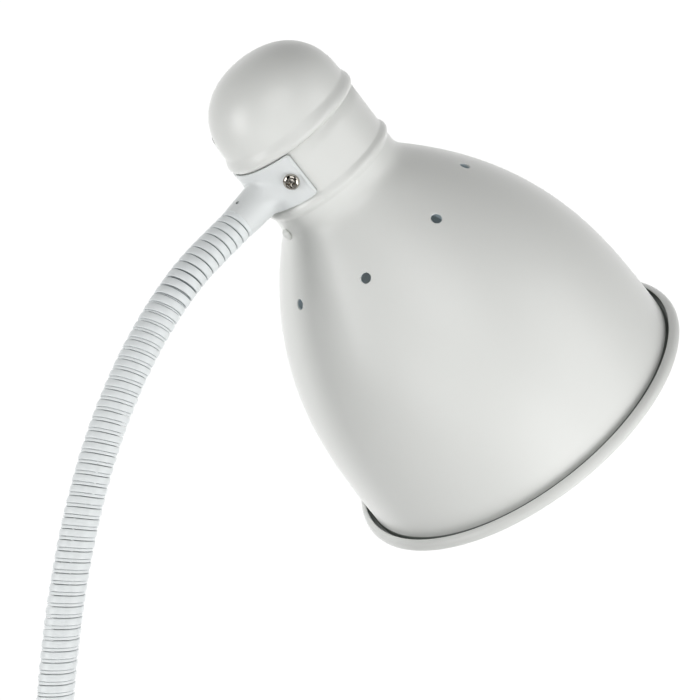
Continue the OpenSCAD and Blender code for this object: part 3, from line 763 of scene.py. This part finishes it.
def make_bracket_screws():
    """A domed head in a washer-faced seat, and a flush countersunk one on the other side."""
    seat = NECK_R + 1.02
    place = outward(SCREW_TURN, BRACKET_H) @ Matrix.Rotation(math.radians(61), 4, "Z")
    outline = [(0, seat - 4), (1.4, seat - 4), (1.4, seat), (2.8, seat), (2.95, seat + 0.12)]
    outline += [(2.95, seat + 0.7)]
    outline += [
        (2.95 * math.cos(t) ** 0.6, seat + 0.7 + 1.25 * math.sin(t))
        for t in np.linspace(0.12, 1.45, 12)
    ]
    domed = spun("domed", outline + [(0, seat + 1.95)], 64, place)
    cross_recess(domed, 1.75, 0.36, seat + 0.75, place)
    seat = NECK_R + 0.2
    place = outward(-SCREW_TURN, BRACKET_H) @ Matrix.Rotation(math.radians(24), 4, "Z")
    outline = [(0, seat - 4), (1.4, seat - 4), (1.4, seat), (2.5, seat + 0.65), (2.6, seat + 0.75)]
    outline += [(2.5, seat + 0.78), (0, seat + 0.8)]
    sunk = spun("sunk", outline, 64, place)
    cross_recess(sunk, 1.6, 0.3, seat + 0.3, place)
    return stands_for(joined([domed, sunk], "bracket_screws_turned"), "bracket_screws", sharp=40)


# ---- gooseneck

HOSE_R = 6.1
CORE_R = 4.3
LOW_PITCH = 3.6
TOP_PITCH = 3.2
HOSE_STEPS = 40
SEAM_TURN = math.radians(147.6)
FIRST_LINE = 1.3
HINGE_STEP = 28
OVERRUN = 6


def hose_path():
    """Smooth line through the neck's pivots: its lengths, points and unit tangents."""
    step = HINGE_STEP * MM
    ends = [hose_start - Vector((0, 0, step)), hose_end - step * boss_way]
    knots = [ends[0], hose_start] + neck_pivots + [hose_end, ends[1]]
    knots = np.array([[k.x, k.z] for k in knots]) / MM
    line = []
    for i in range(len(knots) - 3):
        a, b, c, d = knots[i : i + 4]
        t = np.linspace(0, 1, 60, endpoint=False)[:, None]
        line.append(
            0.5 * (2 * b + (c - a) * t + (2 * a - 5 * b + 4 * c - d) * t**2
                   + (3 * b - a - 3 * c + d) * t**3)
        )
    line = np.vstack(line + [knots[-2:-1]])
    start = np.array([line[0] - (0, OVERRUN)])
    way = line[-1] - line[-2]
    stop = np.array([line[-1] + OVERRUN * way / np.linalg.norm(way)])
    line = np.vstack([start, line, stop])
    length = run_along(line) - OVERRUN
    return length, line, tangents(line, length)


HOSE_LENGTH, HOSE_LINE, HOSE_TANGENT = hose_path()


def hose_point(s):
    """Place of the hose's centre line in x and z, in metres."""
    return (picked(s, HOSE_LENGTH, HOSE_LINE) * MM).tolist()


def turn_table():
    """Arc length against turns of the winding, which lies closer towards the head."""
    s = np.linspace(-OVERRUN, HOSE_LENGTH[-1], 4000)
    pitch = np.interp(s, [0, 258, 308], [LOW_PITCH, LOW_PITCH, TOP_PITCH - 0.05])
    turns = np.concatenate([[0], np.cumsum(np.diff(s) / pitch[1:])])
    return turns - np.interp(FIRST_LINE, s, turns), s


TURNS, TURN_LENGTH = turn_table()


def wire_section(u0, u1, radius, corner):
    """Cross-section of one wound wire: shares of a turn against radius, closed."""
    share = corner / LOW_PITCH
    turns = np.linspace(0, math.pi / 2, 4)
    bend = [(share * (1 - math.sin(t)), radius - corner * (1 - math.cos(t))) for t in turns]
    left = [(u0 + inwards, r) for inwards, r in bend[::-1]]
    right = [(u1 - inwards, r) for inwards, r in bend]
    crown = [((u0 + u1) / 2, radius + 0.03 * (u1 - u0) * LOW_PITCH)]
    return [(u0, CORE_R)] + left + crown + right + [(u1, CORE_R)]


# The narrow and the wide wire, each low on the hose and at its top, where the wide one nearly
# covers the narrow one. They change over between two places along the hose.
TOP_FADE = (252, 284)
WIRES = [
    (wire_section(0.03, 0.3, HOSE_R - 0.22, 0.2), wire_section(0.005, 0.065, HOSE_R - 0.9, 0.1)),
    (wire_section(0.335, 0.97, HOSE_R, 0.26), wire_section(0.105, 0.96, HOSE_R, 0.24)),
]


def wound(low_section, top_section, first, last):
    """Closed helical ribbon between two turn numbers."""
    count = round((last - first) * HOSE_STEPS)
    tau = first + np.arange(count + 1) / HOSE_STEPS
    top_share = np.interp(np.interp(tau, TURNS, TURN_LENGTH), TOP_FADE, [0, 1])[:, None]
    low, top = np.array(low_section), np.array(top_section)
    u = (1 - top_share) * low[:, 0] + top_share * top[:, 0]
    radius = (1 - top_share) * low[:, 1] + top_share * top[:, 1]
    s = np.interp(tau[:, None] + u, TURNS, TURN_LENGTH)
    centre = picked(s, HOSE_LENGTH, HOSE_LINE)
    way = picked(s, HOSE_LENGTH, HOSE_TANGENT)
    angle = 2 * math.pi * tau[:, None] + SEAM_TURN
    near = radius * np.cos(angle)
    side = radius * np.sin(angle)
    x = centre[..., 0] + side * way[..., 1]
    z = centre[..., 1] - side * way[..., 0]
    points = np.stack([x, -near, z], axis=-1).reshape(-1, 3) * MM
    columns = len(low)
    faces = grid_faces(count + 1, columns, False, True)
    faces.append(tuple(range(columns)))
    faces.append(tuple(range(count * columns, (count + 1) * columns))[::-1])
    return points.tolist(), faces


def make_hose():
    """The winding in one length per neck joint and one at each end: the end lengths ride on the root and the head,
    and the others stay where they are built.
    """
    def turn_at(s, parts):
        """Turn number at a place on the hose, to the nearest of so many parts of a turn."""
        return round(float(np.interp(s, TURN_LENGTH, TURNS)) * parts) / parts

    tucked_in, margin = 2.5, 2.2
    mids = [HINGE_STEP * (k + 0.5) for k in range(11)]
    cuts = [turn_at(s, 1) for s in mids]
    bounds = [turn_at(-tucked_in, HOSE_STEPS)] + cuts
    bounds.append(turn_at(HOSE_LENGTH[-1] - OVERRUN + tucked_in, HOSE_STEPS))
    for k in range(12):
        halves = []
        for low_section, top_section in WIRES:
            points, faces = wound(low_section, top_section, bounds[k], bounds[k + 1])
            halves.append(add_mesh("wire", points, faces))
        piece = joined(halves, f"neck_winding_{k}")
        node = f"hose_segment_{min(k, 10)}"
        # Painted shade on every part of the winding deeper than its outer faces: the grooves between turns and
        # their hidden sides.
        mark(piece, "recess", lambda point: (HOSE_R - 0.5 - hose_reach(point)) / 0.25)
        piece.data.materials.append(LOOKS["hose_paint"])
        finish_mesh(piece, 60)
        if k in (0, 11):
            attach(piece, neck_bodies[0 if k == 0 else 10])
        else:
            low, high = hose_point(mids[k - 1] + margin), hose_point(mids[k] - margin)
            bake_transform(piece)
        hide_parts(node)


def hose_reach(point):
    """Distance from the hose's centre line, in millimetres."""
    off = HOSE_LINE - (point.x / MM, point.z / MM)
    return math.sqrt(float((off**2).sum(axis=1).min()) + (point.y / MM) ** 2)


# ---- clip

JAW_T = 1.2
JAW_W = 46
LOWER_W = 43
NOSE_X, BACK_X = 17, -92
PIVOT_X, PIVOT_Z = -42, -2.5
EAR_R = 7.5
PLATE_TOP, PLATE_LOW = 8, -13
GRIP_T = 1.3
GRIP_X = -64
CLIP = Matrix.Scale(MM, 4)
PIVOT = Matrix.Translation((PIVOT_X * MM, 0, PIVOT_Z * MM))
ACROSS = PIVOT @ Matrix.Rotation(-math.pi / 2, 4, "X") @ CLIP


def bent_away(x, bend_x, slope):
    """Height gained behind a bend, eased over a few millimetres."""
    return slope * 3 * np.logaddexp(0, (bend_x - x) / 3)


def upper_plate(x):
    return PLATE_TOP + bent_away(x, -50, 4.5 / 42)


def lower_plate(x):
    return PLATE_LOW - bent_away(x, -33, 25 / 59)


def wall_edge(line, side):
    """Free edge of a side wall: a line through chosen points, and the round ear about the pin."""
    x = np.linspace(BACK_X - 2, NOSE_X + 1, 1600)
    z = np.interp(x, [p[0] for p in line], [p[1] for p in line])
    inside = EAR_R**2 - (x - PIVOT_X) ** 2
    ear = PIVOT_Z + side * np.sqrt(np.maximum(inside, 0))
    z = np.where(inside > 0, side * np.maximum(side * z, side * ear), z)
    return x, blurred(z, 10, mode="edge")


def pressed(name, width, back, nose, corner, thick, plate, edge, side, front=None, bend=1.4):
    """Sheet metal channel with a rounded plan. plate(x) is its outer face, edge its free rim.

    side is 1 where the walls stand above the plate and -1 where they hang below it; front cuts
    the channel off there, for the sleeves that cover only the handles; bend is the radius where
    the walls turn into the plate.
    """
    half, r = width / 2 - thick / 2, corner - thick / 2
    x0, x1 = back + thick / 2, nose - thick / 2
    edge_x, edge_z = edge
    along = run_along(np.stack(edge, axis=1))
    stations = np.interp(np.arange(0, along[-1], 0.9), along, edge_x)
    stop = x1 - r if front is None else front
    between = (stations > x0 + r + 0.3) & (stations < stop - 0.3)
    stations = np.concatenate([[x0 + r], stations[between], [stop]])
    path = [(x, half, 0, -1) for x in stations]
    if front is None:
        path += corner_path(x1 - r, half - r, r, 90, 0) + corner_path(x1 - r, r - half, r, 0, -90)
    path_right = [(x, -half, 0, 1) for x in stations[::-1]]
    back_turn = corner_path(x0 + r, r - half, r, 270, 180)
    back_turn += corner_path(x0 + r, half - r, r, 180, 90)
    if front is None:
        path += path_right + back_turn
    else:
        path = path_right + back_turn + path
    rows = []
    for x, y, nx, ny in path:
        floor_z = float(plate(x)) + side * thick / 2
        wall_z = floor_z + side * bend
        rim_z = float(np.interp(x, edge_x, edge_z))
        rim_z = side * max(side * rim_z, side * (wall_z + side * 0.3))
        row = [(x, y, rim_z + f * (wall_z - rim_z)) for f in np.linspace(0, 1, 5)]
        for k in range(1, 7):
            a = math.pi / 2 * k / 6
            inward = bend * (1 - math.cos(a))
            bend_z = floor_z + side * bend * (1 - math.sin(a))
            row.append((x + inward * nx, y + inward * ny, bend_z))
        spine = max(x, x0 + half)
        if front is None:
            spine = min(spine, x1 - half)
        ax, ay = row[-1][:2]
        spine_z = float(plate(spine)) + side * thick / 2
        for f in (0.3, 0.65, 1):
            px = ax + f * (spine - ax)
            plate_z = float(plate(px)) + side * thick / 2
            row.append((px, ay * (1 - f), plate_z if f < 1 else spine_z))
        rows.append(row)
    piece = add_grid(name, rows, CLIP, front is None, False)
    cleaned(piece, 2e-6)
    solid = piece.modifiers.new("thick", "SOLIDIFY")
    solid.thickness = thick * MM
    solid.offset = 0
    solid.use_even_offset = True
    apply_modifiers(piece)
    cleaned(piece)
    softened(piece, 0.22 * thick, 2, 50)
    return piece


def corner_path(cx, cy, r, start, stop):
    turns = [math.radians(start + (stop - start) * k / 10) for k in range(1, 10)]
    return [(cx + r * math.cos(t), cy + r * math.sin(t), -math.cos(t), -math.sin(t)) for t in turns]


UPPER_EDGE = wall_edge(
    [(-94, 11.2), (-86, 10.4), (-80, 4.5), (-49.5, 1), (-48, PIVOT_Z), (-35.5, PIVOT_Z),
     (-30, 1.6), (17, 3)], -1
)
LOWER_EDGE = wall_edge(
    [(-94, -37), (-86, -33.9), (-84, -28.5), (-49, -6), (-42, PIVOT_Z), (-36, 6.65), (-29.7, 6.65),
     (-28.4, -6.6), (17, -7.5)], 1
)
UPPER_GRIP_EDGE = wall_edge([(-94, 10.2), (-87, 9.4), (-80, 3.3), (-64, 2.4), (17, 2)], -1)
LOWER_GRIP_EDGE = wall_edge([(-94, -35.6), (-87, -33), (-84, -27.2), (-64, -14.4), (17, 2)], 1)


def make_jaws():
    plan = (BACK_X, NOSE_X, 6, JAW_T)
    upper = pressed("upper_jaw_pressed", JAW_W, *plan, upper_plate, UPPER_EDGE, -1)
    screw = Matrix.Translation((base_x, 0, 0)) @ CLIP
    carve(upper, [rod("pin_hole", 2.05, -30, 30, ACROSS), rod("screw_hole", 3.1, 2, 14, screw)])
    stands_for(upper, "upper_jaw", sharp=40)
    lower = pressed("lower_jaw_pressed", LOWER_W, *plan, lower_plate, LOWER_EDGE, 1)
    carve(lower, [rod("pin_hole", 2.1, -30, 30, ACROSS)])
    stands_for(lower, "lower_jaw", sharp=40)


def make_grips():
    """Dipped vinyl sleeves, with a rolled edge where the dip stopped."""
    gap, bend = 0.05, 2.0
    wide = 2 * GRIP_T + 2 * gap
    plan = (BACK_X - GRIP_T - gap, NOSE_X, 7.3, GRIP_T)
    over = pressed(
        "upper_grip_dipped", JAW_W + wide, *plan,
        lambda x: upper_plate(x) + GRIP_T + gap, UPPER_GRIP_EDGE, -1, GRIP_X, bend
    )
    stands_for(over, "upper_grip", sharp=50)
    under = pressed(
        "lower_grip_dipped", LOWER_W + wide, *plan,
        lambda x: lower_plate(x) - 1.09 * GRIP_T - gap, LOWER_GRIP_EDGE, 1, GRIP_X, bend
    )
    stands_for(under, "lower_grip", sharp=50)


def make_pads():
    """Rubber blocks with round-bottomed grooves across their gripping faces."""
    lying = Matrix.Rotation(math.pi / 2, 4, "X") @ CLIP
    half_x, rib_pitch, groove, plain_end = 14, 3.5, 1.1, 12.6
    for node, back, face, half_y in (
        ("upper_pad", 6.8, 0, JAW_W / 2 - JAW_T - 1.3),
        ("lower_pad", -11.8, -5, LOWER_W / 2 - JAW_T - 1),
    ):
        way = 1 if back > face else -1
        ribs = []
        for x in np.linspace(-half_x, half_x, 169):
            dip = max(0.0, math.cos(2 * math.pi * x / rib_pitch)) ** 0.7
            ribs.append((float(x), face + way * groove * (dip if abs(x) < plain_end else 0)))
        outline = ribs + [(half_x, back), (-half_x, back)]
        piece = extruded(node + "_ribbed", outline, -30, 30, lying)
        block = extruded("block", rounded_plan(half_x, half_y, 5), -20, 20, CLIP)
        combined(piece, block, "INTERSECT")
        softened(piece, 0.35, 3, 40)
        stands_for(piece, node, sharp=45)


def tube(name, path, radius, sides=16):
    """Round wire along a line of points, closed at both ends."""
    path = np.array(path, dtype=float)
    ways = tangents(path)
    side = np.cross(ways[0], (0.1, 0.9, 0.2))
    points = []
    for here, way in zip(path, ways):
        side = side - way * np.dot(side, way)
        side /= np.linalg.norm(side)
        other = np.cross(way, side)
        for k in range(sides):
            a = 2 * math.pi * k / sides
            points.append(tuple(here + radius * (math.cos(a) * side + math.sin(a) * other)))
    faces = grid_faces(len(path), sides, False, True)
    faces += [tuple(range(sides)), tuple(range((len(path) - 1) * sides, len(path) * sides))[::-1]]
    return add_mesh(name, points, faces, CLIP)


def make_spring():
    """Torsion spring: eight turns round the pin, wound between the upper jaw and the lower one."""
    turns, coil_r, half, wire_r, leg = 8, 5.2, 8, 0.9, 34
    start, stop = math.radians(80.5), math.radians(-57.3 - 360 * turns)
    coil = []
    for f in np.linspace(0, 1, 32 * turns + 13):
        a = start + (stop - start) * f
        x, z = PIVOT_X + coil_r * math.cos(a), PIVOT_Z + coil_r * math.sin(a)
        coil.append((x, half - 2 * half * f, z))
    first, last = np.array(coil[0]), np.array(coil[-1])
    upper_way = np.array((-math.cos(math.radians(9.5)), 0, math.sin(math.radians(9.5))))
    lower_way = np.array((math.sin(stop), 0, -math.cos(stop)))
    upper_leg = [first + d * upper_way for d in np.linspace(leg, 1.2, 14)]
    lower_leg = [last + d * lower_way for d in np.linspace(1.2, leg, 14)]
    piece = tube("torsion_spring_wound", upper_leg + coil + lower_leg, wire_r)
    piece.data.materials.append(LOOKS["zinc_steel"])
    finish_mesh(piece, 50)
    middle = (PIVOT_X * MM, PIVOT_Z * MM)
    ends = [(middle[0], y * MM, middle[1]) for y in (half, -half)]
    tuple(ends[0])
    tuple(ends[1])
    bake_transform(piece)
    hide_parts("torsion_spring")


def make_pin():
    """Hinge pin with a domed head, and the clip that holds it in its groove."""
    half = JAW_W / 2
    turns = np.linspace(0.15, math.pi / 2, 8)
    outline = [(0, -half - 1.7)]
    outline += [(3.6 * math.sin(t), -half - 0.9 - 0.8 * math.cos(t)) for t in turns]
    outline += [(3.6, -half - 0.3), (3.5, -half - 0.2), (2, -half - 0.2), (2, half + 0.3)]
    outline += [(1.5, half + 0.35), (1.5, half + 1.15), (2, half + 1.2), (2, half + 1.7)]
    outline += [(1.6, half + 2.1), (0, half + 2.1)]
    stands_for(spun("pivot_pin_turned", outline, 48, ACROSS), "pivot_pin")
    z0 = half + 0.35
    ring = [polar(4, t) for t in np.linspace(1.95, 2 * math.pi + 1.19, 44)]
    for t in np.linspace(2 * math.pi + 1.02, 2.12, 60):
        ring.append(polar(2.1 - 0.5 * math.cos(1.5 * (t - 1.5 * math.pi)) ** 8, t))
    clip = extruded("pin_clip_stamped", ring, z0, z0 + 0.8, ACROSS)
    softened(clip, 0.1, 2, 50)
    stands_for(clip, "pin_clip")


# ---- base of the gooseneck

def make_base():
    """Turned collar, the grommet in its side, and the ferrule that takes the hose."""
    outline = [(3, 8), (10.6, 8), (11, 8.4)] + arc((8.5, 29.5), 2.5, 0, 90, 12)
    outline += [(5.3, 32), (5, 31.7), (5, 23), (7.5, 23), (7.5, 14), (3, 14)]
    collar = spun("base_collar_turned", outline, 96, BASE)
    outlet = BASE @ Matrix.Translation((0, 0, 18.5)) @ Matrix.Rotation(-math.pi / 2, 4, "Y")
    grub = BASE @ Matrix.Translation((0, 0, 27.5)) @ Matrix.Rotation(-math.pi / 2, 4, "X")
    carve(collar, [rod("outlet", 4.25, 2, 20, outlet, 48), rod("grub_hole", 1.5, 4, 20, grub, 32)])
    stands_for(collar, "base_collar", sharp=45)
    outline = [(2.6, 4.9), (4.5, 4.9), (4.5, 5.9), (4.15, 5.9), (4.15, 11.15), (5.1, 11.15)]
    outline += arc((4.9, 11.65), 0.5, -60, 60, 6)
    outline += [(4.6, 12.5), (4.3, 12.8), (3.0, 12.85), (2.7, 12.7), (2.6, 12.4)]
    stands_for(spun("cord_grommet_moulded", outline, 64, outlet), "cord_grommet", sharp=50)
    outline = [(3.2, 23.6), (4.6, 23.6), (4.9, 23.9), (4.9, 32.02), (6.3, 32.02), (6.55, 32.25)]
    outline += [(6.55, 37.1)] + arc((6.4, 37.1), 0.15, 0, 180, 4) + [(6.2, 33.4), (3.2, 33.4)]
    stands_for(spun("hose_ferrule", outline, 80, BASE), "hose_bottom_fitting", sharp=50)
    screw = [(1.0, 5), (1.45, 5), (1.45, 9.9), (1.2, 10.15), (0.9, 10.15), (0.9, 8.5), (0, 8.4)]
    stands_for(spun("base_grub_screw_turned", screw, 24, grub), "base_grub_screw")


# ---- switch, holder and bulb

def make_switch():
    """Push button with a dished top, and its body with a threaded bush."""
    place = outward(SWITCH_TURN, SWITCH_H)
    cap = [(0, 22.4), (3.5, 22.4)] + arc((3.0, 27.9), 0.5, 0, 90, 6) + [(2.2, 28.35), (0, 28.2)]
    stands_for(spun("switch_button_moulded", cap, 48, place), "switch_button")
    body = extruded("switch_case", rounded_plan(5.5, 5.5, 1), 12, 22.5, place)
    softened(body, 0.3, 2, 60)
    bush = [(3.62, 21), (4.4, 21)]
    crest, root, pitch = 4.4, 4.26, 0.5
    for k in range(1, 9):
        h = 22.0 + pitch * k
        bush += [(crest, h - 0.12), (root, h), (crest, h + 0.12)]
    bush += [(4.3, 26.4), (3.72, 26.4), (3.62, 26.3)]
    piece = joined([body, spun("bush", bush, 48, place)], "switch_body_moulded")
    stands_for(piece, "switch_body")


def threaded(name, inner, r0, depth, z0, z1, pitch, steps, place):
    """Tube with a rounded screw thread rolled into its wall, fading out at both ends."""
    heights = np.linspace(z0, z1, round((z1 - z0) / pitch * 14) + 1)
    rows = []
    for i in range(steps):
        a = 2 * math.pi * i / steps
        wave = 0.5 + 0.5 * np.cos(2 * math.pi * ((heights - z0) / pitch - i / steps))
        fade = np.clip(np.minimum(heights - z0, z1 - heights) / (0.5 * pitch), 0, 1)
        radius = r0 - depth * (1 - wave**0.7 * fade)
        wall = [*zip(radius, heights), (inner, z1), (inner, z0)]
        rows.append([(*polar(r, a), z) for r, z in wall])
    return add_grid(name, rows, place)


def make_bulb():
    """Frosted globe, white housing with a soft waist, and a screw cap with its insulated tip."""
    globe_r, globe_h, seam_h, wall = 30, 50, 60, 1.5
    half = math.degrees(math.acos((seam_h - globe_h) / globe_r))
    line = arc((0, globe_h), globe_r - wall / 2, 90 - half, -89.8, 64)
    globe = spun("bulb_globe_frosted", sheet(line, wall), 160, HEAD)
    stands_for(globe, "bulb_globe", sharp=60)
    rim = math.sqrt(globe_r**2 - (seam_h - globe_h) ** 2)
    knots = [(62, rim + 0.4), (68, 27.6), (75, 25), (84, 20.6), (92, 17), (98, 14.4), (100.4, 13.6)]
    heights = np.linspace(62, 100.4, 60)
    curve = np.interp(heights, [h for h, _ in knots], [r for _, r in knots])
    curve = blurred(curve, 7, mode="reflect", reflect_type="odd")
    outline = [(0, 60.05), (rim - 0.2, 60.05), (rim + 0.05, 60.2), (rim + 0.05, 60.7)]
    outline += [(rim - 0.25, 60.8), (rim - 0.25, 61.1), (rim + 0.3, 61.2)]
    outline += [(float(r), float(h)) for r, h in zip(curve, heights)]
    outline += [(13.3, 101), (0, 101)]
    stands_for(spun("bulb_housing_moulded", outline, 160, HEAD), "bulb_housing", sharp=40)
    skirt = [(0.4, 101), (12.9, 101), (13.0, 101.2), (13.0, 102.2), (12.6, 102.6)]
    skirt += [(12.3, 102.6), (0.4, 102.6)]
    thread = threaded("thread", 0.4, 13, 0.75, 102.6, 120.4, 3.6, 96, HEAD)
    cap = joined([spun("skirt", skirt, 96, HEAD), thread], "bulb_cap_rolled")
    stands_for(cap, "bulb_cap", sharp=60)
    tip = [(0, 120.4), (11.6, 120.4), (11.2, 121.1), (8.4, 122.4), (5.6, 123.1)]
    tip += [(5.4, 123.2), (0, 123.2)]
    stands_for(spun("bulb_insulator_fused", tip, 64, HEAD), "bulb_insulator", sharp=60)
    contact = [(0, 123.2), (4.8, 123.2), (4.7, 123.5), (3.8, 124.15), (2.4, 124.38), (0, 124.4)]
    stands_for(spun("bulb_contact_soldered", contact, 48, HEAD), "bulb_contact", sharp=60)


def make_holder():
    """Moulded lamp holder: an open barrel with a rounded mouth and the domed cap behind it."""
    outline = [(0, 126), (15, 126), (15, 104.1)] + arc((15.6, 104.1), 0.6, 180, 270, 5)
    outline += arc((17.2, 104.1), 0.6, 270, 360, 5)
    outline += [(17.8, 127.4), (17.5, 127.7), (17.2, 128), (0, 128)]
    body = spun("holder_body_moulded", outline, 96, HEAD)
    places = [HEAD @ Matrix.Translation((x, 0, 0)) for x in (-9, 9)]
    carve(body, [rod("hole", 1.5, 125, 129, place, 24) for place in places])
    stands_for(body, "holder_body", sharp=40)
    outline = [(15.6, 128), (17.8, 128)] + arc((11.8, 134), 6, 0, 90, 16)
    outline += [(9, 140.4), (4.95, 140.4), (4.95, 136.4), (8, 137.6)]
    outline += arc((11.4, 133.6), 4.2, 90, 0, 12)
    cap = spun("holder_cap_moulded", outline, 96, HEAD)
    carve(cap, [rod("hole", 2, 8, 30, outward(6, 133), 24)])
    stands_for(cap, "holder_cap", sharp=40)


# ---- build

add_camera()
add_world()
head_middle = rim_centre + 0.08 * head_axis
neck_middle = sum((Vector(corner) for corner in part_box("hose_segment_4")), Vector()) / 2
# Name, what it faces, distance from it, direction, width and height, watts
for softbox in (
    ("left_softbox", head_middle, 0.9, (-0.913, -0.15, -0.378), (0.3, 0.6), 3.8),
    ("right_softbox", head_middle, 0.9, (0.85, 0.1, -0.5), (0.6, 0.8), 3.0),
    ("low_softbox", head_middle, 0.9, (0.6, -0.6, -0.5), (0.6, 0.6), 3.85),
    ("front_softbox", head_middle, 0.9, (-0.1, 0.25, -1), (0.63, 0.63), 2.45),
    ("neck_softbox", neck_middle, 0.35, (-0.2, -0.45, -1), (0.2, 0.2), 0.16),
):
    add_light(*softbox)
add_floor()
make_shade()
make_cap()
make_plug()
make_bracket()
make_bracket_screws()
make_hose()
make_jaws()
make_grips()
make_pads()
make_spring()
make_pin()
make_base()
make_switch()
make_holder()
make_bulb()

for node, slot in NODE_SLOT.items():
    cad = frame["nodes"][node]
    cad.data.materials.clear()
    cad.data.materials.append(LOOKS[slot])

bpy.context.scene.view_settings.view_transform = "Standard"
